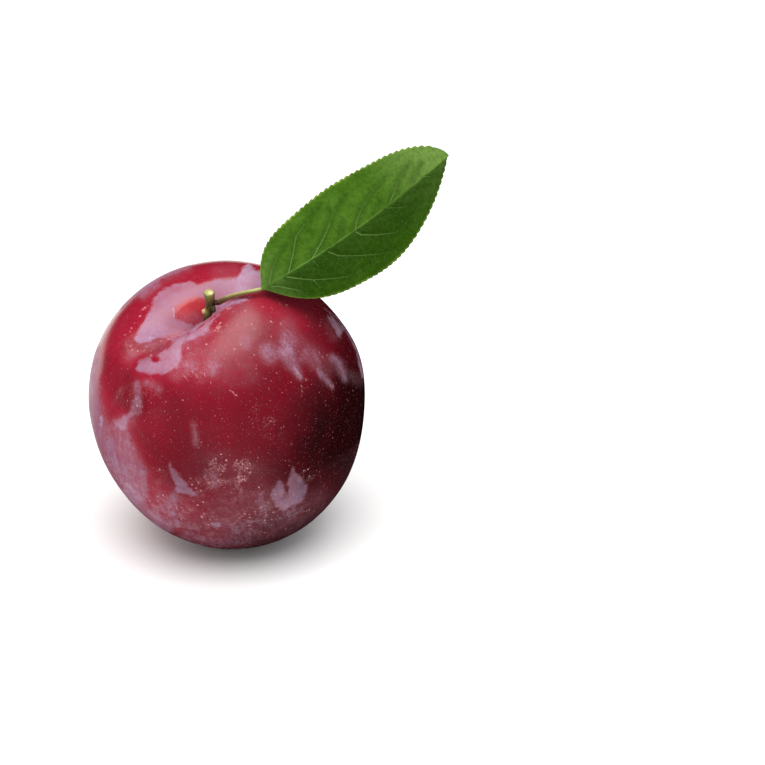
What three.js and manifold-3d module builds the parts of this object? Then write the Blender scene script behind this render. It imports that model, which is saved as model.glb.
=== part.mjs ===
// A ripe round plum with its cut stalk and one serrated leaf, resting on a small flat spot.
// Units are millimetres, +Z is up, and the origin is the middle of the flat spot.
// Azimuths are measured from +X towards +Y.

import * as THREE from "three";
import { mergeVertices } from "three/addons/utils/BufferGeometryUtils.js";
import Module from "manifold-3d";

const wasm = await Module();
wasm.setup();

const RAD = Math.PI / 180;
const { clamp, lerp, smoothstep } = THREE.MathUtils;

// ---------------------------------------------------------------- driving dimensions

// The fruit, in its own axes: the stalk end is up and the blossom end is down.
const FRUIT_WIDTH = 59.2;
const FRUIT_HEIGHT = 64.8; // before the stalk basin is sunk into the top
const SHOULDER_SHARE = 0.045; // how much broader the upper half is than the lower one
const FULLNESS = 0.025; // how far the flanks stand out beyond an ellipse
const BASIN_DEPTH = 3.5;
const BASIN_REACH = 9.5;
const BASIN_STRETCH = 1.2; // how much longer the basin is along the seam than across it
const PIT_DEPTH = 3.4;
const PIT_REACH = 3;
const EQUATOR_BLEND = 0.45; // cosine of the polar angle where the top's relief is at full height

// The seam: a valley through the stalk basin, and a faint groove down one side from it.
const SEAM_AZIMUTH = 214;
const VALLEY_DEPTH = 5;
const VALLEY_REACH = 4.2;
const VALLEY_LENGTH = 16.5;
const GROOVE_DEPTH = 0.6;
const GROOVE_REACH = 2.5;
const GROOVE_LEAST = 0.12; // what is left of the groove's depth below the equator

// The two lobes beside the seam. The front one swells up into a cheek.
const LOBE_STEP = 0.8; // how far each lobe stands above or below the seam
const LOBE_REACH = 22;
const LOBE_ROUNDING = 4;
const CHEEK_RISE = 3.5;
const CHEEK_REACH = 12;
const CHEEK_BEHIND_SEAM = 7; // how far the cheek's top lies past the stalk, away from the seam
const CHEEK_BESIDE_SEAM = 12;

// How the fruit lies: its stalk end leans forward (-Y) and to the left (-X).
const LEAN_FORWARD = 19;
const LEAN_LEFT = 9;

// The right shoulder stands out a little, in a round bulge.
const BULGE_TOWARD = [0.927, 0.158, 0.339]; // from the fruit's centre, as the fruit lies
const BULGE_HEIGHT = 1.1;
const BULGE_REACH = 18; // degrees, seen from the fruit's centre
const FLAT_DEPTH = 0.6; // how much of the round underside the flat spot takes off

const FRUIT_SEGMENTS = 72;
const FRUIT_RINGS = 48;
const RING_CROWDING = 1.35; // above 1 the rings lie closer together in the stalk basin

// The stalk, as points along its middle measured from the bottom of the pit.
const STALK_GAP = 0.7;
const STALK_PATH = [
  [-0.25, 0.15, STALK_GAP],
  [0.05, -1.25, 4.0],
  [0.95, -2.7, 8.1],
  [0.87, -3.9, 11.3],
];
const STALK_RADIUS = 0.86;
const STALK_FOOT = 0.35; // share of the radius that the rounded foot takes off
const CUT_RADIUS = 1.15;
const CUT_BEVEL = 0.28;
const SPUR_PATH = [
  [0.7, -1.7, 5.2],
  [0.1, -1.95, 6.1],
  [-0.6, -2.1, 6.9],
];
const SPUR_RADIUS = { foot: 0.63, end: 0.5, rounding: 0.3 };
const KNOT_CENTRE = [1.9, -3.05, 8.9]; // where the leaf's own stalk grows from
const KNOT_RADIUS = 0.6;
const BUD_CENTRE = [1.65, -3.3, 8.1];
const BUD_RADIUS = 0.42;

// The leaf's own stalk, from the knot to the foot of the blade.
const PETIOLE_PATH = [
  [-0.75, -11.3, 60.75],
  [0.1, -12.8, 61.9],
  [1.75, -14.6, 63.25],
  [3.85, -15.75, 64.35],
  [5.95, -15.95, 65.0],
];
const PETIOLE_RADIUS = 0.52;
const PETIOLE_SWELLING = 0.12; // where it grew from the knot

// The blade.
const BLADE_FOOT = [8.1, -15.4, 65.3];
const BLADE_TIP = [47.2, 12.0, 85.6];
const BLADE_ROLL = 10; // turn about its length, away from facing the front
const BLADE_LEFT = 11.8; // widest half widths
const BLADE_RIGHT = 10.3;
const BLADE_THICKNESS = 0.62;
const BLADE_BOW = 2.1; // sideways bow of the midrib
const BLADE_ARCH = 1.8; // upward arch along the midrib
const BLADE_DROOP = 10; // each half slopes down from the midrib by this angle
const BLADE_CUPPING = 0.012; // how fast each half curls under towards its margin
const FOLD_ROUNDING = 0.6;
const TIP_CURL = 1.4;
const WAVE_HEIGHT = 0.45;
const WAVE_PITCH = 15; // radians of the margins' wave from foot to tip
const WAVE_START = { left: 0.5, right: 2.4 }; // radians
const FACES_UP = 25; // degrees between the blade's facing and level
const LEFT_OUTLINE = { swell: 0.118, bluntness: 0.5, tooth: 0.42 };
const RIGHT_OUTLINE = { swell: 0.128, bluntness: 1.06, tooth: 0.2 };
const WIDEST_AT = 0.4; // share of the length where the blade starts to narrow to its tip
const LEAST_HALF_WIDTH = 0.32;
const TEETH = 38; // on each side
const TOOTH_RISE = [0, 0.85, 1]; // a tooth's height at each of its columns
const TOOTH_SLANT = 0.6; // how far a tooth points to the tip, as a share of its height
const COLUMNS_PER_TOOTH = 3;
const BLADE_ROWS = 8;
const RIB_DEPTH = { foot: 0.28, blade: 0.36 }; // how far the midrib's middle lies under the blade's
const RIB_STARTS = 0.2; // share of the leaf's own stalk and midrib where the midrib starts
const RIB_RADIUS = 0.5;
const RIB_TIP_RADIUS = 0.24;
const RIB_STATIONS = [0.02, 0.1, 0.25, 0.45, 0.65, 0.82, 0.94];

// ---------------------------------------------------------------- helpers

/** A closed three.js geometry as a manifold solid. */
function solidOf(geometry) {
  const bare = geometry.clone();
  bare.deleteAttribute("normal");
  bare.deleteAttribute("uv");
  const merged = mergeVertices(bare, 1e-4);
  return new wasm.Manifold(
    new wasm.Mesh({
      numProp: 3,
      vertProperties: new Float32Array(merged.attributes.position.array),
      triVerts: new Uint32Array(merged.index.array),
    }),
  );
}

/** A manifold solid as a three.js geometry. */
function geometryOf(solid) {
  const mesh = solid.getMesh();
  const geometry = new THREE.BufferGeometry();
  geometry.setAttribute("position", new THREE.BufferAttribute(mesh.vertProperties, 3));
  geometry.setIndex(new THREE.BufferAttribute(mesh.triVerts, 1));
  geometry.computeVertexNormals();
  return geometry;
}

/** Moves every vertex of a geometry by a function that changes the point in place. */
function shape(geometry, move) {
  const position = geometry.attributes.position;
  const point = new THREE.Vector3();
  for (let i = 0; i < position.count; i++) {
    move(point.fromBufferAttribute(position, i));
    position.setXYZ(i, point.x, point.y, point.z);
  }
  return geometry;
}

/** A bell curve: 1 at distance 0, about 0.37 at the reach. */
const bell = (distance, reach) => Math.exp(-((distance / reach) ** 2));

/** A list of [x, y, z] triples as vectors, moved by an offset. */
const vectors = (points, offset) =>
  points.map((p) => new THREE.Vector3(...p).add(offset));

/** A round limb along a curve: a closed cylinder whose rings are laid out on the curve. */
function limb(points, radiusAt, sides, rings) {
  const curve = new THREE.CatmullRomCurve3(points, false, "centripetal");
  const frames = curve.computeFrenetFrames(rings, false);
  const cylinder = new THREE.CylinderGeometry(1, 1, 1, sides, rings);
  return shape(cylinder, (p) => {
    const ring = Math.round((p.y + 0.5) * rings);
    const radius = radiusAt(ring / rings);
    const out = frames.normals[ring].clone().multiplyScalar(-p.x * radius);
    out.addScaledVector(frames.binormals[ring], p.z * radius);
    p.copy(curve.getPointAt(ring / rings)).add(out);
  });
}

/** An open sheet given a thickness: two equal faces and a wall along the border. */
function thicken(sheet, thickness) {
  sheet.computeVertexNormals();
  const position = sheet.attributes.position;
  const normal = sheet.attributes.normal;
  const count = position.count;
  const vertices = [];
  const point = new THREE.Vector3();
  const away = new THREE.Vector3();
  for (const side of [0.5, -0.5]) {
    for (let i = 0; i < count; i++) {
      away.fromBufferAttribute(normal, i).multiplyScalar(side * thickness);
      point.fromBufferAttribute(position, i).add(away);
      vertices.push(point.x, point.y, point.z);
    }
  }
  const faces = [];
  const used = new Set();
  const index = sheet.index.array;
  for (let t = 0; t < index.length; t += 3) {
    const [a, b, c] = [index[t], index[t + 1], index[t + 2]];
    faces.push(a, b, c, a + count, c + count, b + count);
    for (const [from, to] of [[a, b], [b, c], [c, a]]) used.add(`${from} ${to}`);
  }
  for (const edge of used) {
    const [from, to] = edge.split(" ").map(Number);
    if (used.has(`${to} ${from}`)) continue;
    faces.push(to, from, from + count, to, from + count, to + count);
  }
  const solid = new THREE.BufferGeometry();
  solid.setAttribute("position", new THREE.Float32BufferAttribute(vertices, 3));
  solid.setIndex(faces);
  return solid;
}

function named(name, solid, color, roughness) {
  const material = new THREE.MeshStandardMaterial({ color, roughness, metalness: 0 });
  const mesh = new THREE.Mesh(geometryOf(solid), material);
  mesh.name = name;
  return mesh;
}

// ---------------------------------------------------------------- the fruit

/** Puts the skin's point at a polar angle from the stalk end and an azimuth into `point`. */
function skinPoint(polar, azimuth, point) {
  const full = 1 + FULLNESS * Math.sin(2 * polar) ** 2;
  const shoulder = 1 + SHOULDER_SHARE * Math.cos(polar);
  const across = (FRUIT_WIDTH / 2) * Math.sin(polar) * shoulder * full;
  let x = across * Math.cos(azimuth);
  let y = across * Math.sin(azimuth);
  let z = (FRUIT_HEIGHT / 2) * Math.cos(polar) * full;

  const seam = SEAM_AZIMUTH * RAD;
  const along = x * Math.cos(seam) + y * Math.sin(seam);
  const beside = -x * Math.sin(seam) + y * Math.cos(seam);
  const upper = smoothstep(Math.cos(polar), 0, EQUATOR_BLEND);

  let sink = BASIN_DEPTH * bell(Math.hypot(along / BASIN_STRETCH, beside), BASIN_REACH);
  sink += VALLEY_DEPTH * bell(beside, VALLEY_REACH) * bell(along, VALLEY_LENGTH);
  sink += PIT_DEPTH * bell(across, PIT_REACH);
  const toCheek = Math.hypot(along + CHEEK_BEHIND_SEAM, beside - CHEEK_BESIDE_SEAM);
  sink -= CHEEK_RISE * bell(toCheek, CHEEK_REACH);
  sink -= LOBE_STEP * Math.tanh(beside / LOBE_ROUNDING) * bell(across, LOBE_REACH);
  z -= sink * upper;

  const fade = lerp(GROOVE_LEAST, 1, smoothstep(z, 0, 24));
  const groove = GROOVE_DEPTH * fade * smoothstep(along, 2, 9) * bell(beside, GROOVE_REACH);
  point.set(x, y, z);
  return point.multiplyScalar(1 - groove / point.length());
}

function fruitSkin() {
  const skin = new THREE.SphereGeometry(1, FRUIT_SEGMENTS, FRUIT_RINGS);
  return shape(skin, (p) => {
    const even = Math.acos(clamp(p.y, -1, 1)) / Math.PI;
    skinPoint(Math.PI * even ** RING_CROWDING, Math.atan2(-p.z, p.x), p);
  });
}

/** The skin's lowest point, which decides where the fruit touches the ground. */
function lowestPoint(geometry) {
  const position = geometry.attributes.position;
  const lowest = new THREE.Vector3(0, 0, Infinity);
  const point = new THREE.Vector3();
  for (let i = 0; i < position.count; i++) {
    point.fromBufferAttribute(position, i);
    if (point.z < lowest.z) lowest.copy(point);
  }
  return lowest;
}

const skin = fruitSkin();
const lean = new THREE.Matrix4().makeRotationFromEuler(
  new THREE.Euler(LEAN_FORWARD * RAD, -LEAN_LEFT * RAD, 0, "XYZ"),
);
skin.applyMatrix4(lean);
const bulgeToward = new THREE.Vector3(...BULGE_TOWARD).normalize();
shape(skin, (p) => {
  const apart = p.angleTo(bulgeToward) / RAD;
  p.setLength(p.length() + BULGE_HEIGHT * bell(apart, BULGE_REACH));
});
const touch = lowestPoint(skin);
const stand = new THREE.Vector3(-touch.x, -touch.y, -touch.z - FLAT_DEPTH);
skin.translate(stand.x, stand.y, stand.z);
const above = new THREE.BoxGeometry(200, 200, 200).translate(0, 0, 100);
const fruitSolid = solidOf(skin).intersect(solidOf(above));

// ---------------------------------------------------------------- the stalk

const pit = skinPoint(0, 0, new THREE.Vector3()).applyMatrix4(lean).add(stand);

/** The stalk's radius: a rounded foot, a slim middle and a flare at the cut end. */
function stalkRadius(t) {
  const foot = 1 - STALK_FOOT * (1 - smoothstep(t, 0, 0.06));
  const flare = (CUT_RADIUS - STALK_RADIUS) * smoothstep(t, 0.7, 0.94);
  const bevel = CUT_BEVEL * smoothstep(t, 0.965, 1);
  return STALK_RADIUS * foot + flare - bevel;
}

const ball = (centre, radius) =>
  new THREE.SphereGeometry(radius, 12, 8)
    .rotateX(90 * RAD)
    .translate(...new THREE.Vector3(...centre).add(pit).toArray());

/** The spur thins a little towards its rounded end. */
function spurRadius(t) {
  return lerp(SPUR_RADIUS.foot, SPUR_RADIUS.end, t) - SPUR_RADIUS.rounding * smoothstep(t, 0.8, 1);
}

const stalkSolid = solidOf(limb(vectors(STALK_PATH, pit), stalkRadius, 16, 28))
  .add(solidOf(limb(vectors(SPUR_PATH, pit), spurRadius, 12, 8)))
  .add(solidOf(ball(KNOT_CENTRE, KNOT_RADIUS)))
  .add(solidOf(ball(BUD_CENTRE, BUD_RADIUS)));

// ---------------------------------------------------------------- the leaf

const bladeFoot = new THREE.Vector3(...BLADE_FOOT);
const bladeTip = new THREE.Vector3(...BLADE_TIP);
const bladeLength = bladeFoot.distanceTo(bladeTip);

/** The blade's own axes: x runs foot to tip, y to its left edge, z out of its upper face. */
function bladeAxes() {
  const x = bladeTip.clone().sub(bladeFoot).normalize();
  const facing = new THREE.Vector3(0, -Math.cos(FACES_UP * RAD), Math.sin(FACES_UP * RAD));
  const z = facing.addScaledVector(x, -facing.dot(x)).normalize();
  z.applyAxisAngle(x, -BLADE_ROLL * RAD);
  const y = z.clone().cross(x);
  return new THREE.Matrix4().makeBasis(x, y, z).setPosition(bladeFoot);
}

/** Half the blade's width as a share of its widest, s from foot to tip. */
function bladeOutline(s, { swell, bluntness }) {
  const base = 1 - Math.exp(-s / swell);
  const past = Math.max(0, s - WIDEST_AT) / (1 - WIDEST_AT);
  return base * (1 - past ** 2) ** bluntness;
}

/** A tooth's share of its full height at a column. The teeth fade out at both ends. */
function toothAt(column, s) {
  const rise = TOOTH_RISE[column % COLUMNS_PER_TOOTH];
  return rise * smoothstep(s, 0.01, 0.09) * (1 - smoothstep(s, 0.95, 1));
}

/** Puts the middle of the blade's thickness at s along and u across (-1 right, 1 left). */
function bladePoint(s, u, column, point) {
  const widest = u > 0 ? BLADE_LEFT : BLADE_RIGHT;
  const outline = u > 0 ? LEFT_OUTLINE : RIGHT_OUTLINE;
  const half = Math.max(LEAST_HALF_WIDTH, widest * bladeOutline(s, outline));
  const onMargin = Math.abs(u) > 0.999;
  const tooth = onMargin ? outline.tooth * toothAt(column, s) : 0;
  const offset = Math.sign(u) * (Math.abs(u) * half + tooth);
  const x = s * bladeLength + TOOTH_SLANT * tooth;
  const y = offset - BLADE_BOW * 4 * s * (1 - s);
  const reach = Math.abs(offset);
  const fold = Math.hypot(reach, FOLD_ROUNDING) - FOLD_ROUNDING;
  const phase = WAVE_PITCH * s + (u > 0 ? WAVE_START.left : WAVE_START.right);
  let z = BLADE_ARCH * 4 * s * (1 - s) - fold * Math.tan(BLADE_DROOP * RAD);
  z += WAVE_HEIGHT * (reach / widest) ** 2 * Math.sin(phase);
  z -= BLADE_CUPPING * reach * reach + TIP_CURL * smoothstep(s, 0.7, 1) ** 2;
  return point.set(x, y, z);
}

const axes = bladeAxes();
const columns = TEETH * COLUMNS_PER_TOOTH;
const sheet = shape(new THREE.PlaneGeometry(1, 1, columns, BLADE_ROWS), (p) => {
  const s = p.x + 0.5;
  bladePoint(s, p.y * 2, Math.round(s * columns), p);
});
const blade = thicken(sheet, BLADE_THICKNESS).applyMatrix4(axes);

/** The leaf's own stalk runs on under the blade as its midrib. */
function ribPath() {
  const path = vectors(PETIOLE_PATH, new THREE.Vector3());
  for (const s of RIB_STATIONS) {
    const under = bladePoint(s, 0, 0, new THREE.Vector3());
    under.z -= lerp(RIB_DEPTH.foot, RIB_DEPTH.blade, smoothstep(s, 0, 0.2));
    path.push(under.applyMatrix4(axes));
  }
  return path;
}

/** The petiole swells where it grew from the knot, and the midrib thins out to its end. */
function ribRadius(t) {
  if (t < RIB_STARTS) return PETIOLE_RADIUS + PETIOLE_SWELLING * (1 - smoothstep(t, 0, 0.03));
  return lerp(RIB_RADIUS, RIB_TIP_RADIUS, (t - RIB_STARTS) / (1 - RIB_STARTS));
}

const leafSolid = solidOf(blade).add(solidOf(limb(ribPath(), ribRadius, 10, 48)));

// ---------------------------------------------------------------- the part

const plum = new THREE.Group();
plum.add(named("fruit", fruitSolid, 0x8a1c2e, 0.4));
plum.add(named("stalk", stalkSolid, 0x6f6a2c, 0.7));
plum.add(named("leaf", leafSolid, 0x3f6b1f, 0.45));

export default plum;
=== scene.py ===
# %% [markdown]
# # A ripe plum with its cut stalk and one leaf
# A plum is a round fruit with a waxy red skin. Its stalk stands in a small basin, and one leaf
# grows from a knot on the stalk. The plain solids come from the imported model. This lesson gives
# them their looks: wax bloom and pores on the skin, bark on the stalk, veins and teeth on the leaf.
# Everything is in metres, so `MM` turns the millimetres that a gardener would measure into metres.

# %% Load the frame
import math

import bpy
import numpy as np
from mathutils import Matrix, Vector, noise
from mathutils.bvhtree import BVHTree


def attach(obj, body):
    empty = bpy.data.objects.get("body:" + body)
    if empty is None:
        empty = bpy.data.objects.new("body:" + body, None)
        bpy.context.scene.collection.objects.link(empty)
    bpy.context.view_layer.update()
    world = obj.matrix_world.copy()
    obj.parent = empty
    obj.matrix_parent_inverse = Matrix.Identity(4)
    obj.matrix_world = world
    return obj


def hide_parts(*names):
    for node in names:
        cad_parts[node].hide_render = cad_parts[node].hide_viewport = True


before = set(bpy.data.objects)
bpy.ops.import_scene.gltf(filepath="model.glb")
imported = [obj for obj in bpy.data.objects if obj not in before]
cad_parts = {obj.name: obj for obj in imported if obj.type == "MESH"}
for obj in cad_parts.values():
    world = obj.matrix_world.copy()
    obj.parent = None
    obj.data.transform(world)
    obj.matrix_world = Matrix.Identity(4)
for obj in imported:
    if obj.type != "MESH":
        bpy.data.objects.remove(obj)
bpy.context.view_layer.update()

MM = 0.001
print("nodes:", sorted(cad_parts))

# %% [markdown]
# ## The camera
# A camera can be turned by angles or aimed along a direction. Aiming is easier to read: it looks
# down on the table by 25 degrees. A long lens keeps the fruit's outline from bulging.

# %% Camera
PICTURE_SIDE = 765
LENS = 100
SENSOR = 36
LOOK_DOWN = math.radians(25)
EYE = Vector((0.032943, -0.420678, 0.232887))
look = Vector((0, math.cos(LOOK_DOWN), -math.sin(LOOK_DOWN)))
above = Vector((0, math.sin(LOOK_DOWN), math.cos(LOOK_DOWN)))
aside = Vector((1, 0, 0))

bpy.ops.object.camera_add(location=EYE, rotation=look.to_track_quat("-Z", "Y").to_euler())
camera = bpy.context.object
camera.name = "camera"
camera.data.lens = LENS
camera.data.sensor_width = SENSOR
bpy.context.scene.camera = camera
print("camera at", [round(v, 3) for v in EYE])


# %% [markdown]
# ## The table and the light
# The plum lies on a plain white table in a dim room, under one large softbox above and in front.
# The room's walls could be modelled, but a world colour is enough: white to the camera, a little
# dimmer as fill light, and left out of the skin's reflections. In a studio, one side of glossy
# fruit is kept deep in tone by a dark card beside it and a dark cloth before it, which the skin
# mirrors instead of the white table. Here the card and the cloth show in reflections alone.

# %% Node tools
def feed(tree, node, inputs):
    """Sets a node's inputs. Each is a number, a colour or the output that feeds it."""
    for name, value in inputs.items():
        if isinstance(value, bpy.types.NodeSocket):
            tree.links.new(value, node.inputs[name])
        else:
            node.inputs[name].default_value = value


def put(tree, kind, inputs=None, **settings):
    """Adds a shader node with its settings and inputs."""
    made = tree.nodes.new("ShaderNode" + kind)
    for name, value in settings.items():
        setattr(made, name, value)
    feed(tree, made, inputs or {})
    return made


def calc(tree, operation, *values):
    """Works out the values with Math nodes, from the first to the last."""
    result = values[0]
    for value in values[1:]:
        result = put(tree, "Math", {0: result, 1: value}, operation=operation).outputs[0]
    return result


def plus(tree, *values):
    """The sum of the values."""
    return calc(tree, "ADD", *values)


def times(tree, *values):
    """The product of the values."""
    return calc(tree, "MULTIPLY", *values)


def ease(tree, value, low, high, start=0.0, end=1.0):
    """Goes smoothly from start to end while the value goes from low to high."""
    inputs = {"Value": value, "From Min": low, "From Max": high, "To Min": start, "To Max": end}
    return put(tree, "MapRange", inputs, interpolation_type="SMOOTHSTEP").outputs[0]


def layers(tree, colour, *coats):
    """Lays coats over a colour in turn. Each coat is a share from 0 to 1 and a colour."""
    for share, coat in coats:
        colour = put(tree, "Mix", {0: share, 6: colour, 7: coat}, data_type="RGBA").outputs[2]
    return colour


# %% Stage tools
def add_piece(name, primitive, **settings):
    """Adds a primitive with nothing else selected, and names it."""
    bpy.ops.object.select_all(action="DESELECT")
    primitive(**settings)
    made = bpy.context.object
    made.name = name
    return made


def plain_paint(piece, name, colour, roughness, mirror):
    """Gives a piece one colour and one finish all over."""
    made = bpy.data.materials.new(name)
    made.use_nodes = True
    finish = {"Base Color": colour, "Roughness": roughness, "Specular IOR Level": mirror}
    feed(made.node_tree, made.node_tree.nodes["Principled BSDF"], finish)
    piece.data.materials.append(made)


# %% Table
TABLE_SIDE = 8
TABLE_WHITE = (0.96, 0.955, 0.95, 1)
table = add_piece("table", bpy.ops.mesh.primitive_plane_add, size=TABLE_SIDE, location=(0, 0, 0))
plain_paint(table, "white_table", TABLE_WHITE, 0.9, 0.1)
print("table:", TABLE_SIDE, "m wide")

# %% Room light
LAMP_PLACE = Vector((0.03, -0.40, 1.13))
LAMP_AIM = Vector((0, 0, 0.05))
LAMP_SIDE = 1.25
LAMP_WATTS = 17.0
FILL = 0.71

room = bpy.data.worlds.new("studio")
bpy.context.scene.world = room
room.use_nodes = True
walls = room.node_tree
walls.nodes.clear()
rays = put(walls, "LightPath").outputs
glow = put(walls, "Mix", {0: rays["Is Camera Ray"], 2: FILL, 3: 1.0}, data_type="FLOAT").outputs[0]
lit = put(walls, "Background", {"Color": (1, 1, 1, 1), "Strength": glow})
put(walls, "OutputWorld", {"Surface": lit.outputs[0]})
room.cycles_visibility.glossy = False

lamp = add_piece("overhead_softbox", bpy.ops.object.light_add, type="AREA", location=LAMP_PLACE)
lamp.data.shape = "DISK"
lamp.data.size = LAMP_SIDE
lamp.data.energy = LAMP_WATTS
lamp.rotation_euler = (LAMP_AIM - LAMP_PLACE).to_track_quat("-Z", "Y").to_euler()
bpy.context.scene.view_settings.view_transform = "Standard"
print("lamp", LAMP_WATTS, "W at", [round(v, 2) for v in LAMP_PLACE])


# %% Screen tools
def keep_sector(screen, start, end):
    """Deletes the faces of a round screen that lie outside the angles from start to end."""
    bpy.ops.object.mode_set(mode="EDIT")
    bpy.ops.mesh.select_all(action="DESELECT")
    bpy.ops.object.mode_set(mode="OBJECT")
    for face in screen.data.polygons:
        past_start = math.atan2(face.center.y, face.center.x) - start
        face.select = past_start % math.tau > (end - start) % math.tau
    bpy.ops.object.mode_set(mode="EDIT")
    bpy.ops.mesh.delete(type="FACE")
    bpy.ops.object.mode_set(mode="OBJECT")


def only_in_mirrors(screen, colour):
    """Gives a dull colour to something that only reflections show."""
    plain_paint(screen, screen.name, colour, 1.0, 0.0)
    for kind_of_ray in ("camera", "diffuse", "shadow", "transmission"):
        setattr(screen, "visible_" + kind_of_ray, False)


# %% Card and cloth
SCREEN_SIDES = 72
CARD_REACH = 0.056
CARD_TOP = 0.09
CARD_FROM = math.radians(-52)
CARD_TO = math.radians(78)
CARD_RED = (0.01, 0.004, 0.004, 1)
CLOTH_REACH = 3.9
CLOTH_FROM = math.radians(150)
CLOTH_RED = (0.05, 0.02, 0.024, 1)
ABOVE_TABLE = 0.3 * MM

card = add_piece("dark_card", bpy.ops.mesh.primitive_cylinder_add, vertices=SCREEN_SIDES, radius=CARD_REACH,
                 depth=CARD_TOP, end_fill_type="NOTHING", location=(0, 0, CARD_TOP / 2))
keep_sector(card, CARD_FROM, CARD_TO)
only_in_mirrors(card, CARD_RED)
cloth = add_piece("dark_cloth", bpy.ops.mesh.primitive_circle_add, vertices=SCREEN_SIDES, radius=CLOTH_REACH,
                  fill_type="TRIFAN", location=(0, 0, ABOVE_TABLE))
keep_sector(cloth, CLOTH_FROM, CARD_TO)
only_in_mirrors(cloth, CLOTH_RED)
print("card and cloth:", len(card.data.polygons), "and", len(cloth.data.polygons), "faces")


# %% [markdown]
# ## Working on one piece
# An operator acts on everything that is selected, so each piece is picked out alone before it is
# worked on. These short helpers do that, and read, move and paint a piece's points.

# %% Piece tools
def pick(piece):
    """Selects one piece and nothing else."""
    bpy.ops.object.select_all(action="DESELECT")
    piece.select_set(True)
    bpy.context.view_layer.objects.active = piece


def apply_modifier(piece, kind, name, **settings):
    """Adds a modifier with its settings and applies it."""
    pick(piece)
    made = piece.modifiers.new(name, kind)
    for key, value in settings.items():
        setattr(made, key, value)
    bpy.ops.object.modifier_apply(modifier=made.name)


def three_wide(points, key):
    """One row of three numbers for each point."""
    rows = np.empty(len(points) * 3, dtype=np.float32)
    points.foreach_get(key, rows)
    return rows.reshape(-1, 3).astype(float)


def places(piece):
    """Every point's x, y and z in metres."""
    return three_wide(piece.data.vertices, "co")


def directions(piece):
    """Every point's normal."""
    return three_wide(piece.data.vertex_normals, "vector")


def move_to(piece, rows):
    """Moves every point of the piece."""
    piece.data.vertices.foreach_set("co", rows.astype(np.float32).ravel())
    piece.data.update()


def paint(piece, name, values):
    """Keeps one number or one vector for each point, for a material to read."""
    values = np.asarray(values, dtype=np.float32)
    kind, key = ("FLOAT", "value") if values.ndim == 1 else ("FLOAT_VECTOR", "vector")
    piece.data.attributes.new(name, kind, "POINT").data.foreach_set(key, values.ravel())


def rise(value, low, high):
    """0 below low, 1 above high, and a smooth rise between them."""
    share = np.clip((value - low) / (high - low), 0, 1)
    return share * share * (3 - 2 * share)


def fall(value, low, high):
    """1 below low, 0 above high, and a smooth fall between them."""
    return 1 - rise(value, low, high)


def bell(distance, reach):
    """1 at distance 0, about 0.37 at the reach."""
    return np.exp(-((distance / reach) ** 2))


def clouds(rows, size, seed):
    """Smooth noise from about -1 to 1 with lumps of the given size, for each place."""
    return np.array([noise.noise(Vector(row) / size + Vector((seed, 0, 0))) for row in rows])


# %% [markdown]
# ## The skin's shape
# The fruit is one closed skin round its flesh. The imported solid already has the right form, with its
# basin, seam and cheeks, but it is made of flat triangles. A copy of it is merged, turned into
# squares and subdivided, which rounds it off and gives it enough points to paint on. Low lumps are
# added last, because no grown fruit is as even as a formula.

# %% Skin mesh
MERGE = 0.01 * MM
PAIR_ANGLE = math.radians(60)
LUMP_HEIGHT = 0.1 * MM
LUMP_SIZE = 9 * MM
FLAT_SPOT = 1 * MM
LUMPS_FROM = 6 * MM

skin = bpy.data.objects.new("plum_skin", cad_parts["fruit"].data.copy())
bpy.context.scene.collection.objects.link(skin)
skin.data.materials.clear()
pick(skin)
bpy.ops.object.mode_set(mode="EDIT")
bpy.ops.mesh.select_all(action="SELECT")
bpy.ops.mesh.remove_doubles(threshold=MERGE)
bpy.ops.mesh.tris_convert_to_quads(face_threshold=PAIR_ANGLE, shape_threshold=PAIR_ANGLE)
bpy.ops.object.mode_set(mode="OBJECT")
apply_modifier(skin, "SUBSURF", "rounding", levels=2, render_levels=2)
bpy.ops.object.shade_smooth()
rows = places(skin)
lumps = clouds(rows, LUMP_SIZE, seed=3) * rise(rows[:, 2], FLAT_SPOT, LUMPS_FROM)
move_to(skin, rows + directions(skin) * (lumps * LUMP_HEIGHT)[:, None])
print("skin:", len(skin.data.polygons), "faces")

# %% [markdown]
# ## Where a point shows
# Bloom is rubbed off wherever a hand or a leaf touched the fruit, so its patches are given one by
# one, like strokes of a brush. Painting by angle round the fruit would be hard to aim. Here each
# stroke is given by where it shows in the finished picture of 765 by 765 points, counted from the
# top left corner. Points on the far side don't show, and get patches of their own from noise.

# %% Picture places
FOCAL = PICTURE_SIDE * LENS / SENSOR
MIDDLE = PICTURE_SIDE / 2
NOT_NEAR = 1e6
TINY = 1e-9
print("one picture point at the fruit in mm:", round(EYE.length / FOCAL / MM, 3))


def picture_places(rows):
    """Where each point shows in the picture."""
    away = rows - np.array(EYE)
    depth = away @ np.array(look)
    across = MIDDLE + FOCAL * (away @ np.array(aside)) / depth
    down = MIDDLE - FOCAL * (away @ np.array(above)) / depth
    return np.stack([across, down], axis=1)


def outside_line(spots, line):
    """How far each spot lies outside a stroke. Each point of the line is x, y and half width."""
    line = [(*point, 0.0)[:3] for point in line]
    nearest = np.full(len(spots), NOT_NEAR)
    for start, end in zip(line, line[1:]):
        start, end = np.array(start, float), np.array(end, float)
        run = end - start
        length = max(run[:2] @ run[:2], TINY)
        share = np.clip((spots - start[:2]) @ run[:2] / length, 0, 1)
        off = spots - start[:2] - share[:, None] * run[:2]
        nearest = np.minimum(nearest, np.hypot(*off.T) - start[2] - share * run[2])
    return nearest


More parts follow.
